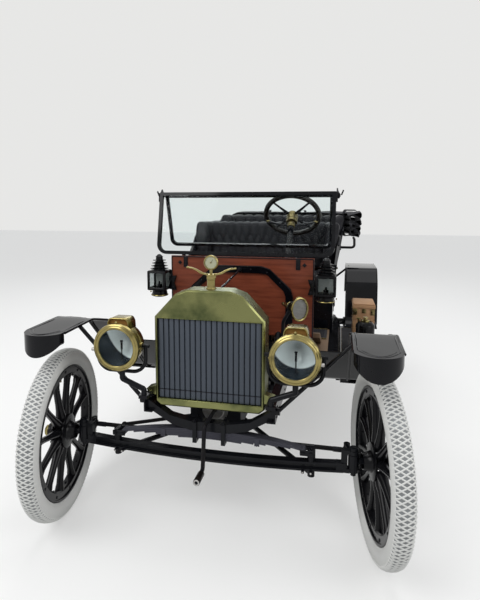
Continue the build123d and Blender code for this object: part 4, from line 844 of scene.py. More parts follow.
    def plate(self, outline: list[Spot], thickness: Spot, finish: Finish, bevel: float = 0.0) -> None:
        """A raised flat outline.

        Args:
            outline: Its corners.
            thickness: The vector from one face to the other.
            finish: Its finish.
            bevel: The rounding of its edges.
        """
        bm = self.fresh()
        face = bm.faces.new([bm.verts.new(point) for point in outline])
        made = bmesh.ops.extrude_face_region(bm, geom=[face])
        bmesh.ops.translate(bm, vec=thickness, verts=new_verts(made))
        eased(bm, list(bm.edges), bevel)
        self.dress(bm, finish)

    def band(self, path: list[Spot], reach: Spot, thickness: float, finish: Finish, bend: float = 0.0,
             bevel: float = 0.0) -> None:
        """A strip of sheet.

        Args:
            path: The corners of one long edge.
            reach: The vector to the other long edge.
            thickness: The sheet's thickness; its sign picks the side that it grows to.
            finish: Its finish.
            bend: The rounding of the path's corners.
            bevel: The rounding of the strip's own edges.
        """
        bm = self.fresh()
        line = [Vector(point) for point in path]
        verts = [bm.verts.new(point) for point in apart(rounded(line, bend) if bend else line)]
        edges = [bm.edges.new(pair) for pair in zip(verts, verts[1:])]
        made = bmesh.ops.extrude_edge_only(bm, edges=edges)
        bmesh.ops.translate(bm, vec=reach, verts=new_verts(made))
        bmesh.ops.solidify(bm, geom=bm.faces[:], thickness=thickness)
        eased(bm, [edge for edge in bm.edges if edge.calc_face_angle(0.0) > 1.2] if bevel else [], bevel)
        self.dress(bm, finish)

    def nut(self, centre: Spot, axis: Spot, radius: float, height: float, finish: Finish) -> None:
        """A hexagon nut on a washer with the end of its bolt.

        Args:
            centre: The middle of the washer's foot.
            axis: The bolt's direction.
            radius: The nut's radius.
            height: The nut's height.
            finish: Its finish.
        """
        centre, axis = Vector(centre), Vector(axis).normalized() * height
        self.rod(centre, centre + axis * 0.2, radius * 1.3, finish, sides=16)
        self.rod(centre + axis * 0.2, centre + axis, radius, finish, sides=6, bevel=radius * 0.12)
        self.rod(centre + axis, centre + axis * 1.35, radius * 0.5, finish, sides=10)

    def rivet(self, centre: Spot, axis: Spot, radius: float, finish: Finish) -> None:
        """A domed rivet head.

        Args:
            centre: Its middle.
            axis: The way that it points.
            radius: Its radius.
            finish: Its finish.
        """
        bm = self.fresh()
        bmesh.ops.create_uvsphere(bm, u_segments=10, v_segments=6, radius=radius,
                                  matrix=facing(centre, axis) @ stretched((1.0, 1.0, 0.55)))
        self.dress(bm, finish)

    def around(self, mark: int, centre: Spot, axis: Spot, count: int) -> None:
        """Repeats shapes evenly about an axis.

        Args:
            mark: The mark since which they were made.
            centre: A point of the axis.
            axis: The axis.
            count: How many there are in the end.
        """
        for bm in self.layers[mark:]:
            spun(bm, [*bm.verts, *bm.edges, *bm.faces], centre, axis, FULL_TURN * (count - 1) / count, count - 1,
                 copies=True)

    def reflected(self, mark: int = 0) -> None:
        """Adds the mirror image of shapes, across the car's middle.

        Args:
            mark: The mark since which they were made.
        """
        for bm in self.layers[mark:]:
            bmesh.ops.mirror(bm, geom=[*bm.verts, *bm.edges, *bm.faces], matrix=Matrix.Identity(4), merge_dist=0.0,
                             axis="X")

    def moved(self, matrix: Matrix, mark: int = 0) -> None:
        """Moves what was made since a mark."""
        for bm in self.layers[mark:]:
            bmesh.ops.transform(bm, matrix=matrix, verts=bm.verts)

    def traced(self, node: str, finish: Finish) -> int:
        """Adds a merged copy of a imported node's own mesh, in its place.

        Args:
            node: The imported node.
            finish: Its finish.

        Returns:
            The mark after it.
        """
        bm = self.fresh()
        bm.from_mesh(frame["nodes"][node].data)
        bmesh.ops.transform(bm, matrix=TO_FRAME.inverted(), verts=bm.verts)
        bmesh.ops.remove_doubles(bm, verts=bm.verts, dist=0.01)
        bmesh.ops.dissolve_limit(bm, angle_limit=radians(0.5), use_dissolve_boundaries=False, verts=bm.verts,
                                 edges=bm.edges)
        self.dress(bm, finish)
        return self.mark()

    def joined(self) -> bmesh.types.BMesh:
        """Joins the shapes.

        Returns:
            All the shapes as one mesh.
        """
        whole = bmesh.new()
        carrier = bpy.data.meshes.new("carrier")
        for bm in self.layers:
            bm.to_mesh(carrier)
            bm.free()
            whole.from_mesh(carrier)
        bpy.data.meshes.remove(carrier)
        return whole

    def place(self, name: str, slot: str, replaces: str = "", soften: float = 0.0, sharp: float = 34.0,
              body: Body = Body.CHASSIS) -> bpy.types.Object:
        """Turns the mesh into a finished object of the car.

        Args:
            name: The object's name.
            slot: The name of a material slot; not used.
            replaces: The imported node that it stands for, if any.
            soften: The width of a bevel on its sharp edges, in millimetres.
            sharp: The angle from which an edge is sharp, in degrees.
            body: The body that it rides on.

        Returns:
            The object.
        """
        bm = self.joined()
        bmesh.ops.transform(bm, matrix=TO_FRAME, verts=bm.verts)
        bmesh.ops.recalc_face_normals(bm, faces=bm.faces)
        for edge in bm.edges:
            if len(edge.link_faces) != 2 or edge.calc_face_angle(0.0) > radians(sharp):
                edge.smooth = False
        piece = added(name, bm)
        for finish in self.finishes:
            piece.data.materials.append(finish.material())
        if soften:
            bevel = piece.modifiers.new("soft_edges", "BEVEL")
            bevel.width, bevel.segments = soften * 0.001, 2
            bevel.limit_method, bevel.angle_limit = "ANGLE", radians(40.0)
        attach(piece, body.value)
        if replaces:
            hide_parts(replaces)
        log.info("%s: %d faces on %s", name, len(piece.data.polygons), body.value)
        return piece


def cross(width: float, height: float, corner: float, steps: int = 5) -> Profile:
    """A rounded rectangle's outline about the origin.

    Args:
        width: Its width.
        height: Its height.
        corner: Its corners' radius.
        steps: How many steps each corner has.

    Returns:
        The flat points.
    """
    points = []
    for sx, sy, start in ((1, 1, 0.0), (-1, 1, 0.5), (-1, -1, 1.0), (1, -1, 1.5)):
        for step in range(steps + 1):
            angle = (start + 0.5 * step / steps) * pi
            points.append((sx * (width / 2 - corner) + corner * cos(angle),
                           sy * (height / 2 - corner) + corner * sin(angle)))
    return points


def corner_place(side: Side, front: bool) -> Matrix:
    """The placing matrix of a wheel that was made about the origin, outer side towards +X.

    Args:
        side: The car's side.
        front: Whether it is a front wheel, which stands turned about its kingpin.

    Returns:
        The matrix, in millimetres and stations.
    """
    sign = side.value
    turn = Matrix.Identity(4) if sign > 0 else Matrix.Rotation(pi, 4, "Z")
    place = Matrix.Translation((sign * HALF_TRACK, 0.0 if front else WHEELBASE, TYRE_RADIUS)) @ turn
    pin = Matrix.Translation((sign * KINGPIN_X, 0.0, 0.0))
    return pin @ Matrix.Rotation(STEER_REST, 4, "Z") @ pin.inverted() @ place if front else place


@dataclass
class RoadWheel:
    """A wooden wheel with steel rim, brass hub cap, tyre and, on the rear axle, a brake drum.

    Args:
        side: The car's side.
        front: Whether it is a front wheel.
    """

    side: Side
    front: bool
    spokes: int = 12
    rim_outer: float = 303.0
    rim_inner: float = 295.0
    felloe_inner: float = 259.0
    flange: float = 76.0
    tread_steps: int = 118

    @property
    def node(self) -> str:
        """The wheel's place in node names."""
        return f"{'front' if self.front else 'rear'}_{self.side.word}"

    def build_wheel(self) -> None:
        """Makes felloe, rim, spokes, hub and, at the rear, the drum."""
        piece = Piece()
        felloe, inner, outer = self.felloe_inner, self.rim_inner, self.rim_outer
        piece.turn(MIDDLE, LEFT, [(-21, felloe + 7), (-14, felloe), (14, felloe), (21, felloe + 7), (21, inner),
                                  (-21, inner), (-21, felloe + 7)], WHEEL_BLACK, 72)
        piece.turn(MIDDLE, LEFT, [(-27, inner - 2), (27, inner - 2), (27, outer - 3), (24, outer), (-24, outer),
                                  (-27, outer - 3), (-27, inner - 2)], CHASSIS_BLACK, 72)
        mark = piece.mark()
        piece.turn(MIDDLE, UP, [(66, 1), (66, 20.5), (92, 20), (116, 16.5), (150, 14.6), (205, 13.6), (236, 14.4),
                                (252, 17.5), (263, 18.5), (263, 1)], WHEEL_BLACK, 18)
        piece.moved(Matrix.Rotation(radians(15), 4, "X") @ stretched((1.12, 0.94, 1.0)), mark)
        turn = Matrix.Rotation(radians(30), 4, "X")
        for sign in (1, -1):
            piece.rivet(turn @ Vector((sign * 21.2, 0, 281)), (sign, 0, 0), 7, CHASSIS_BLACK)
        piece.nut(turn @ Vector((0, 0, felloe + 2)), turn @ Vector(DOWN), 5, 6, CHASSIS_BLACK)
        piece.around(mark, MIDDLE, LEFT, self.spokes)
        for sign in (1, -1):
            piece.turn(MIDDLE, (sign, 0, 0), [
                (22, 30), (22, self.flange), (27, self.flange), (29, self.flange - 3), (30, 46), (36, 40), (50, 36),
                (62, 34), (64, 30), (22, 30)], WHEEL_BLACK, 40)
        mark = piece.mark()
        piece.nut((28, 0, 60), LEFT, 7.5, 9, BLACK_IRON)
        piece.around(mark, MIDDLE, LEFT, 6)
        self._hub_cap(piece)
        piece.rod((4, 0, felloe + 1), (4, 0, felloe - 26), 4.2, OLD_BRASS, sides=12, bevel=0.8)
        piece.rod((4, 0, felloe), (4, 0, felloe - 5), 8, OLD_BRASS, sides=6)
        if not self.front:
            piece.turn(MIDDLE, RIGHT, [(26, 40), (26, 116), (28, 118), (60, 118), (61, 116), (61, 112), (33, 112),
                                       (32, 40), (26, 40)], CHASSIS_BLACK)
        self._placed(piece, "wooden_wheel", "wheel_wood", "wheel")

    def _hub_cap(self, piece: Piece) -> None:
        """Adds the brass cap with its hexagon and dome.

        Args:
            piece: The wheel.
        """
        piece.rod((60, 0, 0), (66, 0, 0), 31, BRASS, sides=40, bevel=1.2)
        piece.rod((66, 0, 0), (76, 0, 0), 26.5, BRASS, sides=6, bevel=1.4)
        piece.turn((76, 0, 0), LEFT, [(-1, 22.5), (1, 22.5), (4, 21), (6.5, 16), (7.6, 8), (8, 0)], BRASS, 32)
        piece.ring((76.5, 0, 0), LEFT, 22, 1.6, BRASS, 32, 8)

    def build_tyre(self) -> None:
        """Makes the tyre: a clincher carcass and its raised non-skid tread."""
        piece = Piece()
        half = [(26, 304), (29, 309), (36, 317), (40.6, 328), (41.4, 340), (39, 353), (33.5, 364), (27, 370.5),
                (18, 374.6), (8, 376.6)]
        section = [(-x, height) for x, height in half] + half[::-1]
        piece.turn(MIDDLE, LEFT, [*section, section[0]], TYRE, 96)
        # The crown band under the ribs, darker as painted shade in the tread's grooves
        piece.turn(MIDDLE, LEFT, [(x, height + 0.5) for x, height in section[6:14]], GROOVE_PAINTED_SHADE, 96)
        mark = piece.mark()
        pitch = FULL_TURN / self.tread_steps
        half = [(35.5, 361.5), (27, 371.0), (14, 375.8)]
        bars = [(-x, height) for x, height in half] + [(0, 377.2)] + half[::-1]
        for sign in (1, -1):
            rib = []
            for x, height in bars:
                angle = sign * pitch * x / 35.5
                rib.append((x, (height + 0.4) * sin(angle), (height + 0.4) * cos(angle)))
            piece.tube(rib, 3.3, TYRE, 0, 6)
        piece.around(mark, MIDDLE, LEFT, self.tread_steps)
        self._placed(piece, "white_tyre", "white_rubber", "tyre")

    def build(self) -> None:
        """Makes the wheel and its tyre."""
        self.build_wheel()
        self.build_tyre()

    def _placed(self, piece: Piece, name: str, slot: str, node: str) -> None:
        """Moves a piece to its corner of the car and finishes it.

        Args:
            piece: The piece, made about the origin.
            name: Its name, without the corner.
            slot: The material slot.
            node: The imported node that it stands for, without the corner.
        """
        piece.moved(corner_place(self.side, self.front))
        piece.place(f"{name}_{self.node}", slot, f"{node}_{self.node}", body=Body(f"wheel_{self.node}"))


@dataclass
class Radiator:
    """The brass radiator: shell, tube-and-fin core, filler neck and winged gauge cap."""

    half_width: float = 243.0
    top: float = 1072.0
    front: float = -26.0
    back: float = 78.0
    core_half: float = 231.0
    core_foot: float = 588.0
    core_top: float = 944.0
    tubes: int = 19
    fin_pitch: float = 5.2
    neck_station: float = 21.84
    gauge_height: float = 1186.0
    gauge_radius: float = 32.0

    def shell(self) -> None:
        """Traces the shell and adds its seams, lip, mounting bolts and overflow pipe."""
        piece = Piece()
        brass = SHELL_BRASS
        piece.traced("radiator_shell", brass)
        mark = piece.mark()
        seam, edge = self.front - 0.6, -self.core_half
        for start, end, radius in (((edge, self.core_top + 2), (0, self.core_top + 2), 1.5),
                                   ((edge - 1, self.core_foot - 2), (edge - 1, self.core_top + 1), 1.5),
                                   ((edge, self.core_foot - 3), (0, self.core_foot - 3), 2.2)):
            piece.tube([(start[0], seam, start[1]), (end[0], seam, end[1])], radius, brass, sides=8)
        piece.nut((-266, self.front + 1, 614), AHEAD, 6, 6, brass)
        for z in (640, 740, 840, 930):
            piece.rivet((-self.half_width, 48, z), RIGHT, 2.6, brass)
        piece.reflected(mark)
        piece.tube([(-34, 30, self.top - 4), (-52, 60, self.top - 30), (-60, 70, self.top - 120)], 4, brass, 20)
        piece.place("radiator_brass_shell", "brass", "radiator_shell", 1.6)

    def core(self) -> None:
        """Builds the flat tubes, the fins behind them and the cross wire."""
        piece = Piece()
        half, foot, depth = self.core_half, self.core_foot, self.front + 6
        pitch = (2 * half - 8) / self.tubes
        for index in range(self.tubes):
            x = -half + 4 + (index + 0.5) * pitch
            piece.cube((x - pitch * 0.41, depth, foot + 1), (x + pitch * 0.41, depth + 16, self.core_top - 1),
                       CORE, pitch * 0.13)
        piece.cube((2 - half, depth + 4, foot + 3), (half - 2, depth + 60, foot + 4), CORE)
        row = piece.layers[-1]
        spun(row, [*row.verts, *row.edges, *row.faces], MIDDLE, UP, 0.0,
             int((self.core_top - foot - 8) / self.fin_pitch), copies=True, climb=(0, 0, self.fin_pitch))
        piece.cube((-half - 4, depth + 12, foot - 7), (half + 4, self.back - 10, self.core_top + 2), CORE, 1.0)
        piece.cube((2 - half, depth - 1.5, foot + 38), (half - 2, depth + 3, foot + 41.5), BLACK_IRON, 0.8)
        piece.place("radiator_tube_core", "core_paint", "radiator_core")

    def cap(self) -> None:
        """Builds the neck, the knurled cap with its wings, and the heat gauge on its stem."""
        piece = Piece()
        brass, y, top, middle, rim = BRASS, self.neck_station, self.top, self.gauge_height, self.gauge_radius
        foot, centre = (0, y, top), (0, y, middle)
        piece.turn(foot, UP, [(-2, 23), (3, 23), (6, 20), (9, 17.6), (40, 17.6), (42, 19.5), (46, 19.5), (46, 0)],
                   brass, 40)
        piece.rod((0, y, top + 46), (0, y, top + 61), 21, brass, sides=8, bevel=1.2)
        piece.turn(foot, UP, [(60, 20), (64, 17), (66, 10), (67, 7), (76, 6.2), (84, 8), (84, 0)], brass, 32)
        mark = piece.mark()
        outline = [(10, 58), (30, 61), (50, 66), (66, 77), (84, 85), (107, 88), (104, 94), (84, 92), (64, 85), (46, 75),
                   (28, 68), (10, 67)]
        piece.plate([(x, y - 3.5, top + z) for x, z in outline], (0, 7, 0), brass, 1.6)
        piece.ball((106, y, top + 91), 5.0, brass)
        piece.reflected(mark)
        piece.turn(centre, AHEAD, [(-7, 0), (-7, rim - 3), (-4, rim), (4, rim), (7, rim - 2.5), (6.4, rim - 6),
                                   (4.4, rim - 6.5)], brass)
        piece.turn(centre, AHEAD, [(4.4, rim - 6), (4.4, 0)], DIAL, 40)
        dial = Vector((0, y - 4.9, middle))
        for index in range(13):
            angle = radians(-130 + index * 260 / 12)
            out = Vector((sin(angle), 0, cos(angle)))
            reach = rim - 9 - (2.5 if index % 3 == 0 else 0)
            piece.rod(dial + out * reach, dial + out * (rim - 8), 0.55, INK, sides=6)
        piece.rod((0, y - 5.4, middle - 4), (9, y - 5.4, middle + 14), 0.9, INK, 0.4, 6)
        piece.rod((0, y - 4.4, middle), (0, y - 6.2, middle), 3, brass, sides=16)
        piece.place("winged_gauge_cap", "brass", "radiator_cap")

    def build(self) -> None:
        """Makes the whole radiator."""
        self.shell()
        self.core()
        self.cap()


@dataclass
class Headlamps:
    """The two acetylene headlamps with bowls, burners and flues."""

    half_spread: float = 375.0
    front: float = -132.0
    height: float = 831.0

    def build(self) -> None:
        """Makes both lamps and their lenses."""
        piece = Piece()
        brass = BRASS
        x, y, z = eye = (self.half_spread, self.front, self.height)
        piece.turn(eye, BACK, [(9, 79), (2, 79), (0, 81), (0, 88), (3, 92), (1.5, 96), (5, 101), (12, 103),
                               (16, 101.5), (19, 102.5), (24, 101), (27, 94), (28, 90), (9, 88), (9, 79)], brass, 72)
        piece.turn(eye, BACK, [(26, 90), (34, 90), (36, 88.6), (60, 88.6), (61, 90), (66, 90), (67, 88.6), (94, 88.6),
                               (97, 87), (104, 82), (118, 70), (134, 50), (138, 46), (142, 34), (149, 22), (149, 0)],
                   brass, 72)
        # The silvered bowl, with its painted reflection
        piece.turn(eye, BACK, [(16, 86), (34, 82), (58, 70), (80, 54), (98, 34), (108, 16), (111, 0)], MIRROR_PAINTED_REFLECTION, 64)
        piece.turn(eye, BACK, [(16, 86.5), (12, 86.5), (12, 84), (16, 84)], OLD_BRASS, 64)
        for low, high, radius, bevel in ((-70, -20, 2.6, 0), (-22, 14, 4.6, 1), (13, 18, 6.6, 1)):
            piece.rod((x, y + 60, z + low), (x, y + 60, z + high), radius, BLACK_IRON, sides=14, bevel=bevel)
        foot = z + 72
        arch = [(x - 47, foot), (x - 45, foot + 30), (x - 36, foot + 46), (x + 36, foot + 46), (x + 45, foot + 30),
                (x + 47, foot)]
        piece.band([(px, y + 30, pz) for px, pz in arch], (0, 70, 0), 3, brass, 8, 0.6)
        for back, finish in ((40, AMBER), (92, OLD_BRASS)):
            piece.plate([(px, y + back, pz) for px, pz in arch], (0, 5, 0), finish)
        piece.tube([(px, y + 31, pz + (1.5 if pz > foot else 8)) for px, pz in arch], 3.2, brass, 10, 8)
        # The hinge, the catch and its knob, the ring's stem, the two pivots and the drain
        for start, end, radius, finish, sides, bevel in (
                ((96, 14, -9), (96, 14, 9), 6, brass, 16, 1), ((-104, 13, 0), (-86, 13, 0), 4.5, brass, 14, 0),
                ((100, 13, -14), (114, 13, -14), 7, STEEL, 16, 2), ((0, 13, 96), (0, 13, 110), 4, brass, 14, 0),
                ((87, 60, 0), (97, 60, 0), 15, brass, 24, 1.5), ((-87, 60, 0), (-97, 60, 0), 15, brass, 24, 1.5),
                ((0, 70, -84), (0, 70, -98), 8, OLD_BRASS, 6, 0)):
            piece.rod(Vector(eye) + Vector(start), Vector(eye) + Vector(end), radius, finish, sides=sides, bevel=bevel)
        piece.ball((x, y + 13, z + 106), 6, brass)
        piece.reflected()
        piece.place("acetylene_headlamps", "brass", "headlamps")
        lens = Piece()
        lens.turn(eye, BACK, [(8, 0), (8.6, 40), (10, 84.5), (12.5, 84.5), (11.1, 40), (10.6, 0)], LAMP_GLASS, 64)
        lens.reflected()
        lens.place("headlamp_glasses", "glass", "headlamp_lenses")


@dataclass
class OilLamp:
    """A square oil lamp with bevelled corner windows, a finned chimney and a round font.

    Args:
        x: The lamp's middle.
        station: Its middle station.
        floor: The height of its case's floor.
        size: The case's width.
        height: The case's height.
        front: -1 if the bull's-eye looks forward, 1 if it looks back.
    """

    x: float
    station: float
    floor: float
    size: float = 106.0
    height: float = 106.0
    front: int = -1

    def fill(self, piece: Piece, glass: Piece) -> None:
        """Adds this lamp to the pieces of all oil lamps.

        Args:
            piece: The opaque parts.
            glass: The panes.
        """
        half, floor, tall = self.size / 2 - 5, self.floor, self.height
        black, brass = LAMP_BLACK, BRASS
        start, first = piece.mark(), glass.mark()
        for sx in (-1, 1):
            for sy in (-1, 1):
                piece.cube((sx * half - 6, sy * half - 6, 0), (sx * half + 5, sy * half + 5, tall), black, 2.0)
        for low, high, grow in ((0, 8, 5), (tall - 8, tall, 5), (-3, 1, 2), (tall - 1, tall + 3, 2)):
            piece.cube((-half - grow, -half - grow, low), (half + grow, half + grow, high), black, 2.0)
        piece.cube((-half, half - 3, 4), (half, half, tall - 4), PALE)
        frame_side = [(half - 6, 0, 9), (half - 6, 0, tall - 9), (6 - half, 0, tall - 9), (6 - half, 0, 9)]
        piece.tube([(px, -half - 2, pz) for px, _, pz in frame_side], 3.4, black, 3, 8, loop=True)
        glass.cube((6 - half, -half - 1, 9), (half - 6, -half + 1, tall - 9),
                   SMOKED if self.front < 0 else RED_GLASS)
        for sign in (-1, 1):
            glass.cube((sign * half - 1, -half + 8, 10), (sign * half + 1, half - 8, tall - 10), SMOKED)
            piece.tube([(sign * (half + 2), px, pz) for px, _, pz in frame_side], 3.4, black, 3, 8, loop=True)
        step = tall * 0.15
        tiers = [(tall - 1, half * 0.92)]
        for index in range(4):
            low, wide = tall + step * index, self.size * (0.43 - 0.045 * index)
            tiers += [(low + 2, wide * 0.74), (low + step * 0.5, wide * 0.74), (low + step * 0.62, wide + 5), (
                low + step * 0.82, wide + 6.5), (low + step * 0.86, wide + 1)]
        top = tall + step * 4
        tiers += [(top, self.size * 0.19), (top + step * 0.9, self.size * 0.18), (top + step, self.size * 0.21), (
            top + step * 1.3, self.size * 0.15), (top + step * 1.75, self.size * 0.09), (top + step * 1.95, 0)]
        piece.turn(MIDDLE, UP, tiers, black, 28)
        piece.turn(MIDDLE, DOWN, [(-1, half * 0.6), (8, half * 0.62), (10, half * 0.86), (26, half * 0.9), (
            28, half * 0.98), (36, half * 0.99), (38, half * 0.94), (43, half * 0.6), (44, 0)], black, 32)
        piece.ring((0, 0, -32), UP, half * 0.98, 2.6, brass, 40, 8)
        piece.turn((0, 0, 3), UP, [(0, 0), (0, 16), (20, 13), (24, 15), (26, 7), (40, 5), (41, 0)],
                   BLACK_IRON, 20)
        piece.rod((half + 4, 0, -18), (half + 10, 0, -18), 5, brass, sides=16, bevel=0.8)
        place = Matrix.Translation((self.x, self.station, floor)) @ (
            Matrix.Identity(4) if self.front < 0 else Matrix.Rotation(pi, 4, "Z"))
        piece.moved(place, start)
        glass.moved(place, first)


@dataclass
class OilLamps:
    """The pair beside the dash and the one at the tail."""

    spread: float = 469.0
    station: float = 600.0
    floor: float = 964.0
    tail: Spot = (380.0, 2696.0, 742.0)

    def build(self) -> None:
        """Makes the three lamps with their brackets, and their panes."""
        piece, glass = Piece(), Piece()
        black = LAMP_BLACK
        OilLamp(self.spread, self.station, self.floor).fill(piece, glass)
        piece.reflected()
        glass.reflected()
        mark = piece.mark()
        outline = [(372, 958), (414, 962), (418, 988), (404, 1000), (418, 1012), (414, 1040), (372, 1042), (380, 1014),
                   (386, 1000), (380, 986)]
        piece.plate([(x, 608, z) for x, z in outline], (0, 12, 0), black, 2.0)
        for z in (972, 1028):
            piece.nut((390, 608, z), AHEAD, 6, 6, BLACK_IRON)
        piece.reflected(mark)
        x, y, z = self.tail
        OilLamp(x, y, z, 84.0, 90.0, 1).fill(piece, glass)
        piece.cube((x - 40, 2560.5, z - 8), (x - 12, y - 30, z + 4), black, 2)
        piece.cube((x - 48, 2560.5, z - 30), (x - 4, 2568, z + 26), black, 2)
        for dz in (-22, 18):
            piece.rivet((x - 26, 2568, z + dz), BACK, 5, BLACK_IRON)
        piece.place("oil_lamp_cases", "lamp_enamel", "oil_lamps")
        glass.place("oil_lamp_panes", "glass", "oil_lamp_glass")


@dataclass
class Horn:
    """The oval-mouthed horn with its gauze, tube and post."""

    mouth: Spot = (362.0, 240.0, 955.0)
    yaw: float = radians(38)

    def build(self) -> None:
        """Makes the horn."""
        piece = Piece()
        axis, up = Vector((-sin(self.yaw), cos(self.yaw), 0)), Vector(UP)
        across, mouth, brass = up.cross(axis), Vector(self.mouth), BRASS
        piece.turn(mouth, axis, [(10, 47), (-2, 48), (-4, 52), (-3, 56), (0, 57.5), (4, 57), (10, 52), (18, 44),
                                 (30, 35), (50, 26), (84, 18.5), (124, 13.5), (128, 12), (128, 0)], brass, 56)
        piece.turn(mouth + axis * 8, axis, [(0, 0), (0, 48)], PALE, 40)
        piece.ring(mouth + axis * 86, axis, 19, 3, brass, 40, 10)
        for index in range(-6, 7):
            offset = index * 7.0
            reach = sqrt(47.0 ** 2 - offset ** 2)
            for one, two in ((across, up), (up, across)):
                piece.rod(mouth + one * offset - two * reach, mouth + one * offset + two * reach, 0.7, STEEL, sides=5)
        oval = facing(mouth, across, axis)
        piece.moved(oval @ stretched((1.0, 1.0, 0.8)) @ oval.inverted())
        tail, foot = mouth + axis * 112, RAIL_TOP + 0.5
        piece.tube([tail, tail + axis * 50, (330, 470, 930), (330, 606, 930)], 8.6, brass, 30, 16)
        piece.rod((330, 600, 930), (330, 606, 930), 21, brass, sides=28, bevel=1.2)
        piece.tube([(278, 300, foot), (278, 300, 880), mouth + axis * 70], 8.6, BLACK_IRON, 16, 14)
        piece.ring(mouth + axis * 70, axis, 22, 4, BLACK_IRON, 32, 8)
        piece.cube((259, 277, foot), (291, 323, foot + 8.5), BLACK_IRON, 2)
        for x, y in ((265, 285), (286, 315)):
            piece.nut((x, y, foot + 8.5), UP, 5, 5, BLACK_IRON)
        piece.place("brass_horn", "brass", "horn")


@dataclass(frozen=True)
class TracedPart:
    """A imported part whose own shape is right: it gets smooth faces, eased edges and its finish.

    Args:
        node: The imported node.
        finish: Its finish.
        slot: The material slot.
        soften: How far its edges are eased, in millimetres.
        body: The body that it rides on.
    """

    node: str
    finish: Finish
    slot: str
    soften: float = 0.0
    body: Body = Body.CHASSIS

    def build(self) -> None:
        """Makes the eased copy."""
        piece = Piece()
        piece.traced(self.node, self.finish)
        piece.place(f"{self.node}_eased", self.slot, self.node, self.soften, CREASE, self.body)


TRACED_PARTS: tuple[TracedPart, ...] = (
    TracedPart("front_axle", CHASSIS_BLACK, "chassis_paint", 1.6),
    TracedPart("wishbone", CHASSIS_BLACK, "chassis_paint"),
    TracedPart("rear_axle", CHASSIS_BLACK, "chassis_paint"),
    TracedPart("knuckle_left", CHASSIS_BLACK, "chassis_paint", body=Body.KNUCKLE_LEFT),
    TracedPart("knuckle_right", CHASSIS_BLACK, "chassis_paint", body=Body.KNUCKLE_RIGHT),
    TracedPart("pitman_arm", BLACK_IRON, "dark_iron", body=Body.PITMAN_ARM),
    TracedPart("exhaust", RAW_IRON, "bare_iron"),
    TracedPart("lamp_forks", CHASSIS_BLACK, "dark_iron"),
    TracedPart("starting_crank", BLACK_IRON, "dark_iron"),
    TracedPart("top_irons", BLACK_IRON, "dark_iron"),
    TracedPart("controls", BLACK_IRON, "dark_iron"),
)


@dataclass
class FrontDressing:
    """Small fittings of the front axle, its springs' eyes and the starting crank's grip."""

    perch_x: float = 440.0

    def build(self) -> None:
        """Makes the shackle bolts, the perches' nuts and the crank's grip."""
        piece = Piece()
        for x in (406, self.perch_x):
            piece.rod((x, -33, 323), (x, 33, 323), 7, CHASSIS_BLACK, sides=6)
            piece.rod((x, -36, 323), (x, -30, 323), 4, STEEL, sides=12)
        piece.rod((self.perch_x, 0, 366), (self.perch_x, 0, 374), 13, CHASSIS_BLACK, sides=6, bevel=1)
        piece.rod((self.perch_x, 0, 374), (self.perch_x, 0, 380), 8, STEEL, sides=16)
        piece.reflected()
        piece.rod((-8, -116, 312), (-8, -180, 312), 14.5, RIM_WOOD, sides=28, bevel=2.5)
        piece.ring((-8, -182, 312), BACK, 10, 3, STEEL, 28, 8)
        piece.place("axle_fittings", "chassis_paint")


@dataclass
class Springs:
    """The two transverse springs, leaf by leaf, with clips and shackles."""

    leaf: float = 7.0
    width: float = 42.0
    leaves: int = 6

    def pack(self, piece: Piece, station: float, top: float, half_span: float, rise: float) -> None:
        """Adds one spring.

        Args:
            piece: The piece that it goes into.
            station: The spring's station.
            top: The height of its highest leaf.
            half_span: Half the distance between its eyes.
            rise: How much it is bowed.
        """
        radius = (half_span ** 2 + rise ** 2) / (2 * rise)
        front, back = station - self.width / 2, station + self.width / 2
        for index in range(self.leaves):
            reach = half_span * (1 - 0.13 * index)
            sag = top - index * self.leaf - radius
            path = []
            for step in range(33):
                x = -reach + 2 * reach * step / 32
                path.append((x, front, sag + sqrt(radius ** 2 - x ** 2)))
            piece.band(path, (0, self.width, 0), self.leaf - 0.5, SPRING, 0, 0.9)
        for sign in (1, -1):
            x, z = sign * half_span, top - rise - self.leaf / 2
            piece.rod((x, front, z), (x, back, z), 12.5, SPRING, sides=28, bevel=1)
            x = sign * half_span * 0.52
            high = top - radius + sqrt(radius ** 2 - x ** 2)
            for face in (-25, 21.5):
                piece.cube((x - 11, station + face, high - 30), (x + 11, station + face + 3.5, high + 4), SPRING, 1)
            piece.rod((x, station - 27, high - 26), (x, station + 27, high - 26), 4, SPRING, sides=6)

    def build(self) -> None:
        """Makes both springs and the shackles."""
        piece = Piece()
        front_top, rear_top = 451.7, 553.5
        self.pack(piece, 0.0, front_top, 406.0, 44.0)
        self.pack(piece, WHEELBASE, rear_top, 466.0, 125.0)
        for inner, station, z in ((406, 0.0, front_top - 47.5), (466, WHEELBASE, rear_top - 128.5)):
            outer = inner + 34
            for face in (-29.3, 21.3):
                piece.cube((inner - 13, station + face, z - 12), (outer + 13, station + face + 8, z + 12),
                           CHASSIS_BLACK, 4, 3)
                piece.cube((-outer - 13, station + face, z - 12), (13 - inner, station + face + 8, z + 12),
                           CHASSIS_BLACK, 4, 3)
            for x in (-outer, -inner, inner, outer):
                piece.rod((x, station - 34, z), (x, station + 34, z), 8, CHASSIS_BLACK, sides=6)
        piece.place("leaf_springs", "spring_steel", "springs")


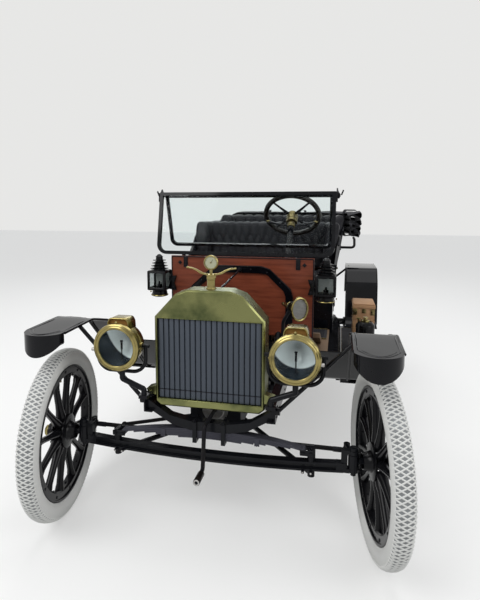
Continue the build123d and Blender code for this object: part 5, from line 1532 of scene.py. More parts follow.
@dataclass
class Frame:
    """The pressed-steel frame with its rivets and bolts."""

    def build(self) -> None:
        """Traces the frame and adds rivets and bolts."""
        piece = Piece()
        paint = CHASSIS_BLACK
        piece.traced("frame", paint)
        mark = piece.mark()
        for station in (-12, 12, 90, 300, 530, 856, 864, 1240, 1560, 1786, 1794, 2100, 2524, 2556):
            for z in (RAIL_TOP - 20, RAIL_TOP - 56):
                piece.rivet((FRAME_HALF_WIDTH, station, z), LEFT, 6, paint)
        for station in (834, 886, 1764, 1816):
            piece.nut((FRAME_HALF_WIDTH, station, RAIL_TOP - 38), LEFT, 8, 8, paint)
        for station in (-26, 26):
            piece.nut((64, station, 492), UP, 8, 9, paint)
        piece.reflected(mark)
        piece.place("pressed_frame", "chassis_paint", "frame", 1.0, CREASE)


@dataclass
class Linkage:
    """The tie rod and drag link with their yokes and nuts."""

    def build(self) -> None:
        """Makes both rods, which ride together."""
        rod = Piece()
        rod.traced("tie_rod", BLACK_IRON)
        for sign in (1, -1):
            angle = STEER_REST
            x = sign * KINGPIN_X - 140 * sin(angle)
            y = 140 * cos(angle)
            rod.nut((x, y, 340.5), DOWN, 8, 8, BLACK_IRON)
            rod.rod((x - sign * 60, y, 352), (x - sign * 22, y, 352), 13, BLACK_IRON, sides=6, bevel=1)
        rod.place("front_tie_rod", "dark_iron", "tie_rod", body=Body.TIE_ROD)
        link = Piece()
        link.traced("drag_link", BLACK_IRON)
        link.place("steering_drag_link", "dark_iron", "drag_link", body=Body.TIE_ROD)


@dataclass
class Dash:
    """The varnished dash board with its binding, the hood former and the stay rod."""

    half_width: float = 404.0
    front: float = 622.0
    foot: float = 606.0
    top: float = 1155.0

    def build(self) -> None:
        """Makes the board, the former and the rod."""
        board = Piece()
        board.traced("firewall", DASH_WOOD)
        black, face, half = BLACK_IRON, self.front - 4, self.half_width - 3
        low, high = self.foot + 10, self.top - 4
        board.tube([(x, self.front - 1, z) for x, z in ((-half, low), (-half, high), (half, high), (half, low))],
                   3.2, black, 8, 8)
        mark = board.mark()
        board.slab((352, self.front - 2, 1118), (17, 5, 17), Matrix.Rotation(radians(45), 3, "Y"), black, 1)
        board.nut((352, face, 1118), AHEAD, 6, 5, black)
        board.band([(306, self.front - 0.5, 1092), (306, self.front - 0.5, self.top - 8),
                    (306, self.front + 6, self.top + 1)], (24, 0, 0), -3.5, black, 3, 0.5)
        board.rivet((318, face, 1104), AHEAD, 5, black)
        board.plate([(250, face, 640), (292, face, 640), (292, face, 612), (250, face, 612)], (0, 4, 0), black, 1)
        board.nut((270, face, 627), AHEAD, 7, 6, black)
        board.reflected(mark)
        board.place("varnished_dash", "varnished_wood", "firewall")
        former = Piece()
        former.traced("hood_former", COACH_BLACK)
        mark = former.mark()
        for x, z in ((273, 680), (273, 780), (273, 880), (222, 1020), (150, 1075), (60, 1089)):
            former.rivet((x, 607.2, z), AHEAD, 4.6, black)
        edge = ((290, 640), (290, 944), (279, 984), (166, 1090), (118, 1106), (0, 1106))
        former.tube([(x, 606, z) for x, z in edge], 2.6, COACH_BLACK, 20, 8)
        former.reflected(mark)
        former.place("hood_former_rail", "body_paint", "hood_former", 2.0)
        rod = Piece()
        rod.rod((0, 602, 1087), (0, 86, 1038), 5.6, CHASSIS_BLACK, sides=18)
        # The washer and the nut at each end of the rod
        for start, rise, end, height, radius, sides, bevel in (
                (607, 1087.4, 596, 1086.4, 13.5, 24, 1.5), (596, 1086.4, 584, 1085.3, 9, 6, 1),
                (79, 1037.4, 90, 1038.4, 12.5, 24, 1.5), (90, 1038.4, 102, 1039.5, 9, 6, 1)):
            rod.rod((0, start, rise), (0, end, height), radius, CHASSIS_BLACK, sides=sides, bevel=bevel)
        rod.place("radiator_stay", "dark_iron", "stay_rod")


@dataclass
class Windshield:
    """The two-piece folding windshield."""

    def build(self) -> None:
        """Traces both frames and adds their bolts and wing nuts."""
        lower = Piece()
        black, iron = COACH_BLACK, BLACK_IRON
        lower.traced("windshield_lower", black)
        mark = lower.mark()
        lower.nut((342, 673, 1136), BACK, 6, 6, iron)
        lower.turn((516, 781, 1496), LEFT, [(0, 0), (0, 15), (3, 17), (9, 17), (12, 14), (14, 8), (15, 0)], iron, 28)
        for flare in (-1, 1):
            lower.plate([(531 + flare * out, 777, z) for out, z in ((2, 1500), (13, 1528), (20, 1524), (9, 1496))],
                        (0, 8, 0), iron, 1.5)
        lower.reflected(mark)
        lower.place("shield_lower_frame", "body_paint", "windshield_lower", 1.6)
        upper = Piece()
        upper.traced("windshield_upper", black)
        upper.place("shield_upper_frame", "body_paint", "windshield_upper", 1.6, body=Body.UPPER_SHIELD)


@dataclass
class Bodywork:
    """The front and rear tubs with mouldings, the doors, and the fenders and boards."""

    def tubs(self) -> None:
        """Traces both tubs and adds beads along their edges."""
        for node, name, front, backs in (("body_front", "front_seat_tub", 1208, (1560, 1600)),
                                         ("body_rear", "rear_seat_tub", 2010, (2420, 2420))):
            piece = Piece()
            piece.traced(node, COACH_BLACK)
            mark = piece.mark()
            for z, back in zip((876, 622), backs):
                piece.tube([(500, front, z), (500, back, z)], 4, COACH_BLACK, sides=8)
            piece.reflected(mark)
            piece.place(name, "body_paint", node, 2.0, CREASE)

    def doors(self) -> None:
        """Traces the doors and adds a moulded panel, the handle's plate and hinge leaves."""
        for side in Side:
            node = f"door_{side.word}"
            piece = Piece()
            piece.traced(node, COACH_BLACK)
            mark = piece.mark()
            outline = [(500.5, 1690, 650), (500.5, 1956, 650), (500.5, 1956, 1010), (500.5, 1690, 966)]
            piece.tube(outline, 3.2, COACH_BLACK, 24, 8, loop=True)
            piece.rod((500, 1952, 960), (506, 1952, 960), 16, BRASS, sides=28, bevel=1.2)
            piece.tube([(520, 1956, 960), (521, 1930, 962), (518, 1892, 958)], 6.2, BRASS, 10, 12, 4.5)
            for z in (723, 953):
                piece.cube((500, 1656, z - 24), (503.5, 1716, z + 24), BLACK_IRON, 2)
                for y in (1672, 1702):
                    piece.rivet((503.5, y, z), LEFT, 3.4, BLACK_IRON)
            if side is Side.RIGHT:
                piece.moved(Matrix.Scale(-1, 4, LEFT), mark)
            piece.place(f"rear_{node}", "body_paint", node, 1.4, CREASE, Body(node))

    def fenders(self) -> None:
        """Traces the fenders and adds their embossed lines and bolts."""
        black = COACH_BLACK
        front = Piece()
        front.traced("front_fenders", black)
        mark = front.mark()
        for x in (608, 759):
            front.tube([(x, -150, 892.5), (x, 66, 904), (x, 320, 839.5), (x, 676, 483)], 3.2, black, 90, 8)
        for inset in (17, 28):
            nose = []
            for step in range(13):
                share = step / 12
                x = 594 + inset + (179 - 2 * inset) * share
                bow = 256 * (share - 0.5) ** 2
                nose.append((x, -236 + inset + bow, 889.4 + (inset + bow) * 0.04))
            front.tube(nose, 3.0, black, 0, 8)
        for x, y, z, radius in ((620, -40, 895.4, 5), (620, -12, 896.52, 5), (640, 742, 466, 6), (727, 742, 466, 6)):
            front.rivet((x, y, z), UP, radius, black)
        front.reflected(mark)
        front.place("front_fender_pair", "body_paint", "front_fenders", 0.0, CREASE)
        rear = Piece()
        rear.traced("rear_fenders", black)
        mark = rear.mark()
        for x in (616, 836):
            rear.tube([(x, 2100, 640), (x, 2132, 803), (x, 2231, 929), (x, 2660, 929), (x, 2860, 804), (x, 2990, 620)],
                      2.4, black, 60, 8)
        rear.rivet((620, 2400, 929), UP, 6, black)
        rear.reflected(mark)
        rear.place("rear_fender_pair", "body_paint", "rear_fenders", 0.0, CREASE)

    def boards(self) -> None:
        """Traces the running boards and lays the ribbed mats with their metal edging."""
        piece = Piece()
        piece.traced("running_boards", COACH_BLACK)
        mark = piece.mark()
        piece.cube((568, 804, 459), (776, 1952, 462.2), MAT, 0.6)
        for index in range(19):
            x = 575 + index * 10.7
            piece.cube((x, 806, 461), (x + 5.2, 1950, 463.2), MAT, 0.5)
        for x0, x1, y0, y1 in ((564, 568, 800, 1956), (776, 781, 800, 1956), (564, 781, 800, 804),
                               (564, 781, 1952, 1956)):
            piece.cube((x0, y0, 459), (x1, y1, 464), OLD_BRASS, 1)
        for y in range(900, 1900, 160):
            piece.rivet((778.5, y, 464), UP, 2.2, OLD_BRASS)
        piece.reflected(mark)
        piece.place("running_board_pair", "body_paint", "running_boards", 0.0, CREASE)

    def build(self) -> None:
        """Makes the bodywork."""
        self.tubs()
        self.doors()
        self.fenders()
        self.boards()


@dataclass
class Crate:
    """The small wooden box on the left running board."""

    low: Spot = (632.0, 1190.0, 462.3)
    high: Spot = (768.0, 1410.0, 812.0)

    def build(self) -> None:
        """Makes boards, lid, corner irons and a latch."""
        piece = Piece()
        (x0, y0, z0), (x1, y1, z1) = self.low, self.high
        lid = z1 - 30
        rows = 4
        tall = (lid - z0) / rows
        walls = ((x0, x1, y0, y0 + 12), (x0, x1, y1 - 12, y1), (x0, x0 + 12, y0 + 12, y1 - 12),
                 (x1 - 12, x1, y0 + 12, y1 - 12))
        boxes = [(*wall, z0 + index * tall, z0 + (index + 1) * tall - 1, 1.4) for index in range(rows)
                 for wall in walls]
        for grow, low, high, bevel in ((-10, z0, z0 + 10, 0), (-10, lid - 12, lid, 0), (4, lid, z1 - 8, 2.0),
                                       (-1, z1 - 8, z1, 2.4)):
            boxes.append((x0 - grow, x1 + grow, y0 - grow, y1 + grow, low, high, bevel))
        for left, right, front, back, low, high, bevel in boxes:
            piece.cube((left, front, low), (right, back, high), BOX_WOOD, bevel)
        for x, sx in ((x0, 1), (x1, -1)):
            for y, sy in ((y0, 1), (y1, -1)):
                for foot in (z0, lid - 42):
                    for long, deep in ((26, 1), (1, 26)):
                        ax, bx = sorted((x - sx * 1.6, x + sx * long))
                        ay, by = sorted((y - sy * 1.6, y + sy * deep))
                        piece.cube((ax, ay, foot), (bx, by, foot + 40), OLD_BRASS, 0.5)
                    piece.rivet((x + sx * 14, y - sy * 1.6, foot + 20), (0, -sy, 0), 2.6, OLD_BRASS)
                    piece.rivet((x - sx * 1.6, y + sy * 14, foot + 20), (-sx, 0, 0), 2.6, OLD_BRASS)
        middle = (x0 + x1) / 2
        piece.cube((middle - 13, y0 - 3.4, lid - 30), (middle + 13, y0 + 1, lid - 4), OLD_BRASS, 0.8)
        piece.cube((middle - 8, y0 - 3.8, lid - 16), (middle + 8, y0 - 1, lid + 16), OLD_BRASS, 0.8)
        piece.ring((middle, y0 - 3.8, lid - 14), BACK, 6, 1.1, OLD_BRASS, 24, 8)
        piece.place("boarded_box", "box_wood", "wooden_box")


@dataclass
class Generator:
    """The acetylene generator: a banded can with a water cap, drip valve, gas tap and strap."""

    x: float = 700.0
    station: float = 1000.0
    foot: float = 462.3

    def build(self) -> None:
        """Makes the generator."""
        piece = Piece()
        black, brass = LAMP_BLACK, BRASS
        x, y, z = base = (self.x, self.station, self.foot)
        for profile, finish, steps in (
                ([(0, 0), (0, 60), (3, 62), (9, 62), (12, 58), (60, 57.5), (63, 60), (68, 60), (71, 57.5), (150, 57.5),
                  (150, 0)], black, 56),
                ([(150, 57), (151, 61.5), (156, 62), (162, 61.5), (164, 57)], brass, 56),
                ([(163, 0), (163, 56), (258, 56), (262, 54), (272, 45), (279, 38), (281, 16), (281, 0)], black, 56),
                ([(279, 0), (279, 24), (284, 25), (290, 24), (292, 18), (292, 9), (300, 8), (301, 15), (305, 16),
                  (308, 14), (308, 0)], brass, 32)):
            piece.turn(base, UP, profile, finish, steps)
        for height in (178, 246):
            piece.ring((x, y, z + height), UP, 56.5, 1.6, black, 56, 8)
        piece.rod((x, y - 54, z + 214), (x, y - 61, z + 214), 6, brass, sides=16)
        piece.rod((x - 40, y + 18, z + 270), (x - 40, y + 18, z + 290), 5, brass, sides=12)
        piece.slab((x - 40, y + 18, z + 293), (26, 5, 7), Matrix.Identity(3), brass, 1.5)
        piece.place("gas_generator_can", "lamp_enamel", "gas_generator")


@dataclass(frozen=True)
class EngineBay:
    """The four-cylinder engine with its manifolds, carburettor, fan belt, water pipes and plug leads."""

    front: float = 118.0
    rear: float = 586.0
    deck: float = 866.0
    plug_x: float = -16.0
    shaft: float = 508.0
    exhaust_height: float = 692.0
    intake_height: float = 642.0

    @property
    def pitch(self) -> float:
        """The distance between cylinders."""
        return (self.rear - self.front) / 4

    @property
    def middle(self) -> float:
        """The station of the engine's middle."""
        return (self.front + self.rear) / 2

    def cylinders(self) -> list[float]:
        """The cylinders' stations."""
        return [self.front + (index + 0.5) * self.pitch for index in range(4)]

    def gaps(self) -> tuple[float, float, float]:
        """The stations between the cylinders."""
        return self.front + self.pitch, self.middle, self.rear - self.pitch

    def build(self) -> None:
        """Makes the engine's pieces."""
        self._block()
        self._plugs()
        self._water()
        self._belt()
        self._manifolds()

    def _block(self) -> None:
        """Dresses the block, head, pan and flywheel housing with flanges, nuts, ribs and covers."""
        block = Piece()
        iron, front, shaft = CASTING, self.front, self.shaft
        block.traced("engine", iron)
        block.cube((-70, front + 26, self.deck - 2), (54, self.rear - 26, self.deck + 7), iron, 5, 3)
        for x in (-84.0, 68.0):
            for index in range(6):
                block.nut((x, front + 14 + index * 88, self.deck - 1), UP, 9, 12, STEEL)
        for y in self.cylinders():
            block.turn((46, y, 640), UP, [(0, 0.5), (0, 50), (8, 55), (118, 55), (134, 44), (138, 0.5)], iron)
        for y in self.gaps():
            block.cube((90, y - 6, 600), (99, y + 6, 796), iron, 3)
        for side in (-108, 108):
            block.cube((side - 20, front - 26, 557), (side + 20, self.rear + 2, 567), iron, 2)
        for side in (-1, 1):
            for index in range(9):
                block.nut((side * 120, front - 14 + index * 72, 567), UP, 6, 8, STEEL)
            for index in range(7):
                block.cube((side * 119 - 2, 170 + index * 46, 462), (side * 119 + 2, 176 + index * 46, 548), iron, 1.5)
        for y in (630, 750):
            block.ring((0, y, shaft), BACK, 207, 5, iron, 72, 10)
        mark = block.mark()
        block.nut((0, 625, shaft + 184), AHEAD, 7, 9, STEEL)
        block.around(mark, (0, 625, shaft), BACK, 14)
        block.turn((0, 84, shaft), AHEAD, [(0, 60), (4, 60), (4, 44), (10, 40), (10, 0.5)], STEEL)
        block.turn((72, 100, 560), UP, [(0, 20), (52, 17), (52, 24), (64, 24), (68, 18), (68, 0.5)], OLD_BRASS, 32)
        block.turn((0, front - 28, 700), BACK, [(0, 34), (3, 44), (6, 38), (14, 38), (17, 44), (20, 34)], BLACK_IRON,
                   40)
        block.rod((0, front + 26, 438), (0, front + 26, 422), 12, STEEL, sides=6)
        block.place("engine_block", "cast_iron", "engine")

    def _plugs(self) -> None:
        """Makes the plugs, and their leads out of a brass tube beside them."""
        plugs = Piece()
        x, deck, tray = self.plug_x, self.deck, self.deck + 13
        for y in self.cylinders():
            plugs.rod((x, y, deck + 6), (x, y, deck + 22), 14, STEEL, sides=6)
            plugs.turn((x, y, deck + 22), UP, [(0, 11), (4, 11), (6, 8), (16, 8), (18, 6), (22, 8), (32, 5.5),
                                               (34, 0.5)], CERAMIC, 24)
            plugs.turn((x, y, deck + 55), UP, [(0, 3), (5, 3), (5, 7), (11, 7), (13, 4), (13, 0.5)], BRASS, 20)
            plugs.tube([(x, y, deck + 61), (20, y, deck + 66), (62, y + 6, deck + 40), (66, y + 8, deck + 24)], 3.2,
                       HOSE, 22, 10)
            plugs.turn((66, y + 8, deck + 16), UP, [(0, 0.5), (0, 8), (12, 6), (12, 0.5)], BRASS, 16)
        plugs.tube([(66, y, tray) for y in (self.front + 30, self.rear - 40, 600, 621)], 9, OLD_BRASS, 0, 18)
        for y in (self.front + 62, self.rear - 66):
            plugs.cube((54, y - 6, deck - 1), (78, y + 6, deck + 5), BLACK_IRON, 1.5)
        plugs.turn((66, 621, tray), AHEAD, [(0, 0.5), (0, 20), (4, 20), (8, 14), (8, 0.5)], BRASS, 24)
        plugs.place("spark_plugs", "brass")

    def _water(self) -> None:
        """Makes the hoses between the engine and the radiator, with brass clamps."""
        water = Piece()
        height = self.deck - 22
        water.turn((0, 79, height), BACK, [(0, 0.5), (0, 28.5), (2, 30), (34, 30), (36, 28.5), (36, 0.5)], HOSE)
        for y in (86, 106):
            water.turn((0, y - 3, height), BACK, [(0, 29), (0, 31.6), (7, 31.6), (7, 29), (0, 29)], BRASS)
            water.rod((-10, y, height + 32), (10, y, height + 32), 3, STEEL, sides=8)
        water.nut((0, 128, height + 23), UP, 7, 8, STEEL)
        water.tube([(94, 214, 640), (166, 214, 640), (166, 214, 576), (166, 82, 576)], 16, BLACK_IRON, 34, 20)
        water.rod((166, 84, 576), (166, 140, 576), 20, HOSE, bevel=1.5)
        for y in (94, 130):
            water.turn((166, y - 3, 576), BACK, [(0, 19), (0, 21.6), (7, 21.6), (7, 19), (0, 19)], BRASS, 32)
        water.plate([(92, 184, 622), (92, 244, 622), (92, 244, 658), (92, 184, 658)], (8, 0, 0), CASTING, 3)
        for y in (192, 236):
            water.nut((100, y, 640), LEFT, 6, 7, STEEL)
        water.place("water_hoses", "cast_iron")

    def _belt(self) -> None:
        """Makes the flat belt that turns the fan, and the fan's brass boss."""
        belt = Piece()
        path = [(x, self.front - 17, z) for x, z in ((43, 741), (64, 448), (-64, 448), (-43, 741))]
        belt.tube(path, 10, MAT, 62, 8, flat=0.22, loop=True)
        belt.turn((0, 80, 700), BACK, [(0, 0.5), (0, 9), (5, 15), (9, 15), (9, 0.5)], BRASS, 24)
        belt.place("fan_belt", "leather")

    def _manifolds(self) -> None:
        """Makes the inlet and exhaust manifolds with clamps, and the brass carburettor."""
        pipes = Piece()
        pipes.traced("manifold", RAW_IRON)
        for y in self.cylinders():
            pipes.turn((-92.4, y, self.exhaust_height), RIGHT, [(0, 0.5), (0, 27), (7, 27), (9, 22), (9, 0.5)],
                       RAW_IRON, 32)
        for y in self.gaps():
            pipes.cube((-106, y - 13, 655), (-98, y + 13, 708), CASTING, 3)
            pipes.nut((-106, y, 668), RIGHT, 9, 11, OLD_BRASS)
        x, y, foot = -160, self.middle, self.intake_height - 128
        pipes.turn((x, y, foot), UP, [(-8, 0.5), (-8, 6), (-3, 8), (0, 34.5), (4, 37), (30, 37), (33, 39), (37, 39),
                                      (40, 36), (62, 30), (66, 22), (66, 0.5)], OLD_BRASS)
        pipes.turn((x, y - 20, foot + 42), AHEAD, [(0, 16), (18, 17), (34, 24), (37, 24), (37, 20), (10, 13),
                                                   (10, 0.5)], OLD_BRASS, 32)
        pipes.rod((x - 26, y + 14, foot + 34), (x - 26, y + 14, foot + 72), 3.5, BRASS)
        pipes.rod((x - 26, y + 14, foot + 72), (x - 26, y + 14, foot + 78), 11, BRASS, sides=16, bevel=1)
        pipes.tube([(x, y + 34, foot + 14), (x - 6, y + 90, foot + 4), (x + 10, self.rear + 10, foot - 4)], 4.5,
                   OLD_BRASS, 30, 10)
        for y in (236, 469):
            pipes.nut((-126, y, 642), RIGHT, 7, 8, STEEL)
        pipes.place("manifold_pipes", "bare_iron", "manifold")


@dataclass(frozen=True)
class Steering:
    """The steering wheel with its spider, and the column with its brass gear case and two hand levers."""

    centre: Spot = (215.0, 1300.0, 1384.0)
    lean: float = radians(44.5)
    rim: float = 179.0
    section: float = 17.0

    @property
    def axis(self) -> Vector:
        """The column's direction, up and rearward."""
        return Vector((0.0, cos(self.lean), sin(self.lean)))

    def build(self) -> None:
        """Makes the wheel and the column."""
        place = facing(self.centre, self.axis, UP)
        wheel = Piece()
        wheel.ring(MIDDLE, UP, self.rim, self.section, RIM_WOOD, 96, 20)
        mark = wheel.mark()
        wheel.tube([(24, 0, -7), (90, 0, -7), (self.rim - 6, 0, -1)], 10.5, BLACK_IRON, 60, 14, 7.5, 0.55)
        wheel.rivet((self.rim - 4, 0, -13), DOWN, 5, OLD_BRASS)
        wheel.around(mark, MIDDLE, UP, 4)
        wheel.moved(Matrix.Rotation(radians(45), 4, "Z"))
        wheel.turn(MIDDLE, UP, [(-13, 0.5), (-13, 32), (-10, 35), (8, 35), (11, 31), (17, 29), (20, 22), (22, 16),
                                (31, 14), (34, 8), (34, 0.5)], OLD_BRASS)
        wheel.rod((0, 0, 20), (0, 0, 29), 17, OLD_BRASS, sides=6, bevel=1.5)
        wheel.moved(place)
        wheel.place("wheel_spider", "wheel_wood", "steering_wheel", body=Body.STEERING_WHEEL)
        column = Piece()
        column.traced("steering_column", COACH_BLACK)
        mark = column.mark()
        column.turn(MIDDLE, UP, [(-73, 19), (-73, 33), (-70, 37.5), (-52, 37.5), (-50, 40), (-46, 40), (-44, 37.5),
                                 (-26, 37.5), (-24, 40), (-18, 40), (-15, 34), (-15, 20)], OLD_BRASS)
        column.turn((0, 0, -112), UP, [(0, 19.2), (0, 24), (3, 26), (36, 26), (39, 24), (39, 19.2)], OLD_BRASS, 40)
        column.turn((0, 0, -820), UP, [(0, 19.3), (0, 30), (4, 44), (8, 44), (12, 26), (30, 22), (30, 19.3)],
                    OLD_BRASS, 40)
        for angle in (0.3, 2.4, 4.5):
            out = Vector((cos(angle), sin(angle), 0))
            column.rivet(out * 38 - Vector((0, 0, 35)), out, 3.5, STEEL)
        for side, along in ((1, -96), (-1, -100)):
            column.tube([(side * 10, 0, along), (side * 80, 0, along + 8), (side * 152, -3, along + 36)], 5.2,
                        BLACK_IRON, 30, 12)
            column.ball((side * 160, -4, along + 42), 10, OLD_BRASS, (1.3, 1.0, 0.8))
        column.moved(place, mark)
        column.place("column_tube", "body_paint", "steering_column")


@dataclass(frozen=True)
class Floor:
    """Ribbed mats with pressed edging on the floorboards."""

    top: float = 628.0
    half_width: float = 470.0
    rib_pitch: float = 15.0

    def build(self) -> None:
        """Makes the two mats."""
        mats = Piece()
        half, top = self.half_width, self.top
        for low, high in ((950.0, 1192.0), (1662.0, 2010.0)):
            mats.cube((-half, low, top), (half, high, top + 5), MAT, 1.5)
            for index in range(int((high - low - 24) / self.rib_pitch)):
                y = low + 16 + index * self.rib_pitch
                mats.cube((16 - half, y, top + 4), (half - 16, y + 6, top + 7.5), MAT, 1.5, 1)
            for y in (low - 2, high - 6):
                mats.cube((-half, y, top + 1), (half, y + 8, top + 9), OLD_BRASS, 1.5)
        mats.place("floor_mats", "leather")


def ease(value: float, low: float, high: float) -> float:
    """A smooth step from 0 to 1 as a value goes from low to high."""
    share = min(1.0, max(0.0, (value - low) / (high - low)))
    return share * share * (3.0 - 2.0 * share)


@dataclass(frozen=True)
class Tufting:
    """Diamond tufting that turns into straight pleats at its borders."""

    pitch: float = 118.0
    row: float = 74.0
    first: float = 92.0
    rows: int = 3
    depth: float = 15.0

    def relief(self, along: float, down: float) -> float:
        """How far the cover sinks at a place.

        Args:
            along: The distance along the rows.
            down: The distance from the border across the rows.

        Returns:
            The depth in millimetres.
        """
        a = along / self.pitch
        b = (down - self.first) / (2.0 * self.row)
        diamond = sqrt(abs(sin(pi * (a + b)) * sin(pi * (a - b))))
        last = self.first + self.row * (self.rows - 1)
        shift = 0.5 * ((self.rows - 1) % 2)
        upper = abs(sin(pi * a)) ** 0.8
        lower = abs(sin(pi * (a + shift))) ** 0.8
        high = ease(down, self.first - 14.0, self.first + 4.0)
        low = ease(down, last - 4.0, last + 14.0)
        height = upper * (1.0 - high) + diamond * high * (1.0 - low) + lower * low
        sunk = self.depth * (1.0 - height) * ease(down, -30.0, 30.0)
        near = round((down - self.first) / self.row)
        if 0 <= near < self.rows:
            offset = 0.5 * (near % 2)
            across = (a - offset - round(a - offset)) * self.pitch
            away = across ** 2 + (down - self.first - near * self.row) ** 2
            sunk += 5.0 * exp(-away / 260.0)
        return sunk

    def buttons(self, length: float) -> Profile:
        """Where the buttons are.

        Args:
            length: The length of the cover along its rows.

        Returns:
            The buttons' places, as (along, down), along from the middle.
        """
        places = []
        for index in range(self.rows):
            offset = 0.5 * (index % 2)
            count = int(length / 2 / self.pitch) + 1
            for step in range(-count, count + 1):
                along = (step + offset) * self.pitch
                if abs(along) < length / 2:
                    places.append((along, self.first + index * self.row))
        return places


@dataclass(frozen=True)
class TubLine:
    """The U-shaped line of a flared tub, from one arm's front round the back to the other arm's.

    Args:
        front: The station of the arms' fronts.
        low: The back's station, the half width, the height and the corners' radius at the lowest level.
        high: The same at the highest level.
    """

    front: float
    low: tuple[float, float, float, float]
    high: tuple[float, float, float, float]

    def at(self, share: float, height: float, inset: float) -> tuple[Vector, Vector]:
        """A point of the line and the direction into the tub.

        Args:
            share: How far along the line, from 0 to 1.
            height: Its height.
            inset: How far inside the tub's outer face.

        Returns:
            The point and the inward direction.
        """
        rise = (height - self.low[2]) / (self.high[2] - self.low[2])
        back, half, _, corner = (a + (b - a) * rise for a, b in zip(self.low, self.high))
        radius = max(corner - inset, 14.0)
        wide, rear = half - inset, back - inset
        arm, bend, middle = self.lengths()
        along = abs(share - 0.5) * (arm + bend + middle)
        sign = 1.0 if share >= 0.5 else -1.0
        if along <= middle / 2:
            return Vector((sign * along / (middle / 2) * (wide - radius), rear, height)), Vector(AHEAD)
        if along <= middle / 2 + bend:
            angle = (along - middle / 2) / bend * QUARTER_TURN
            out = Vector((sign * sin(angle), cos(angle), 0.0))
            return Vector((sign * (wide - radius), rear - radius, height)) + out * radius, -out
        part = (along - middle / 2 - bend) / arm
        point = Vector((sign * wide, rear - radius - part * (rear - radius - self.front), height))
        return point, Vector((-sign, 0.0, 0.0))

    def lengths(self) -> tuple[float, float, float]:
        """Measures the line at its middle height and depth.

        Returns:
            The lengths of an arm, a corner and the back.
        """
        back, half, _, corner = ((a + b) / 2 for a, b in zip(self.low, self.high))
        radius = max(corner - 60.0, 14.0)
        return back - 60 - radius - self.front, QUARTER_TURN * radius, 2 * (half - 60 - radius)

    def total(self) -> float:
        """The line's whole length."""
        arm, corner, back = self.lengths()
        return 2 * arm + 2 * corner + back


@dataclass(frozen=True)
class TuftedBack:
    """A seat's padded back and arms: a rolled top, tufted inside, with a welt along the tub's edge."""

    name: str
    line: TubLine
    foot: float
    thickness: float
    profile: tuple[tuple[float, float], ...]
    rim: tuple[tuple[float, float], ...]
    tufting: Tufting
    wall: float = 18.6

    def top(self, station: float) -> float:
        """The height of the roll's crown at a station."""
        return self._along(self.profile, station)

    @staticmethod
    def _along(profile: tuple[tuple[float, float], ...], station: float) -> float:
        """Reads a smooth line.

        Args:
            profile: Its (station, height) pairs, from the rear.
            station: The station.

        Returns:
            The height there.
        """
        if station >= profile[0][0]:
            return profile[0][1]
        for (rear, high), (front, low) in zip(profile, profile[1:]):
            if station >= front:
                return low + (high - low) * ease(station, front, rear)
        return profile[-1][1]

    def point(self, share: float, turn: float) -> Vector:
        """A point of the cover.

        Args:
            share: How far round the tub, from 0 to 1.
            turn: How far round the pad's section, from its outer foot up, over the roll and down.

        Returns:
            The point.
        """
        line = self.line
        station = line.at(share, (self.foot + self.profile[0][1]) / 2, self.wall)[0].y
        height = self.top(station) - self.foot
        thick = self.thickness
        roll = thick / 2
        side = height - roll - 14.0
        parts = (side, pi * roll, side, 22.0, thick - 28.0, 22.0)
        along = turn * sum(parts)
        index = 0
        while index < 5 and along > parts[index]:
            along -= parts[index]
            index += 1
        part = along / parts[index]
        if index == 0:
            depth, up, out, lift = 0.0, 14.0 + along, -1.0, 0.0
        elif index == 1:
            angle = pi * part
            depth, up = roll - roll * cos(angle), height - roll + roll * sin(angle)
            out, lift = -cos(angle), sin(angle)
        elif index == 2:
            depth, up, out, lift = thick, height - roll - along, 1.0, 0.0
        else:
            angle = -pi / 2 * part
            if index == 3:
                depth, up = thick - 14 + 14 * cos(angle), 14 + 14 * sin(angle)
            elif index == 4:
                depth, up = thick - 14 - (thick - 28) * part, 0.0
            else:
                depth, up = 14 - 14 * sin(-angle), 14 - 14 * cos(angle)
            out, lift = 0.0, 0.0
        if index == 2:
            depth += 9.0 * sin(pi * part)
        down = pi * roll * part - roll if index == 1 else pi * roll - roll + along
        if index in (1, 2) and down > -10.0:
            sunk = self.tufting.relief((share - 0.5) * line.total(), down)
            sunk *= ease(up, 0.0, 40.0)
            depth -= sunk * out
            up -= sunk * lift * 0.8
        end = min(share, 1.0 - share) * line.total()
        tuck = sqrt(max(0.0, 1.0 - (1.0 - min(end / 46.0, 1.0)) ** 2))
        depth = thick / 2 + (depth - thick / 2) * tuck
        up = height / 2 + (up - height / 2) * (0.25 + 0.75 * tuck) if tuck > 0 else height / 2
        base, inward = line.at(share, self.foot + up, self.wall)
        crease = noise.noise(base * 0.012) * 2.5
        return base + inward * (depth + (crease if index in (1, 2) else 0.0))

    def build(self) -> None:
        """Makes the pad, its buttons and its welt."""
        pad = Piece()
        bm = pad.fresh()
        bmesh.ops.create_grid(bm, x_segments=330, y_segments=88, size=0.5)
        for vert in bm.verts:
            vert.co = self.point(vert.co.x + 0.5, vert.co.y + 0.5)
        pad.dress(bm, LEATHER, 0.02)
        total = self.line.total()
        for along, down in self.tufting.buttons(total - 150):
            share = along / total + 0.5
            station = self.line.at(share, self.foot, self.wall)[0].y
            height = self.top(station) - self.thickness / 2 - (down - (pi - 1) * self.thickness / 2)
            if height >= self.foot + 34:
                base, inward = self.line.at(share, height, self.wall)
                pad.rivet(base + inward * (self.thickness - self.tufting.depth + 1.0), inward, 10.0, LEATHER)
        piece = pad.place(self.name, "leather", "seat_backs", sharp=60.0)
        welt, path, inset, steps = Piece(), [], 8.0, 90
        for step in range(steps + 1):
            share = 0.004 + 0.992 * step / steps
            station = self.line.at(share, self.foot, inset)[0].y
            path.append(self.line.at(share, self._along(self.rim, station) + 3.0, inset)[0])
        welt.tube(path, 6.5, LEATHER, 0, 10)
        welt.place(self.name + "_welt", "leather")


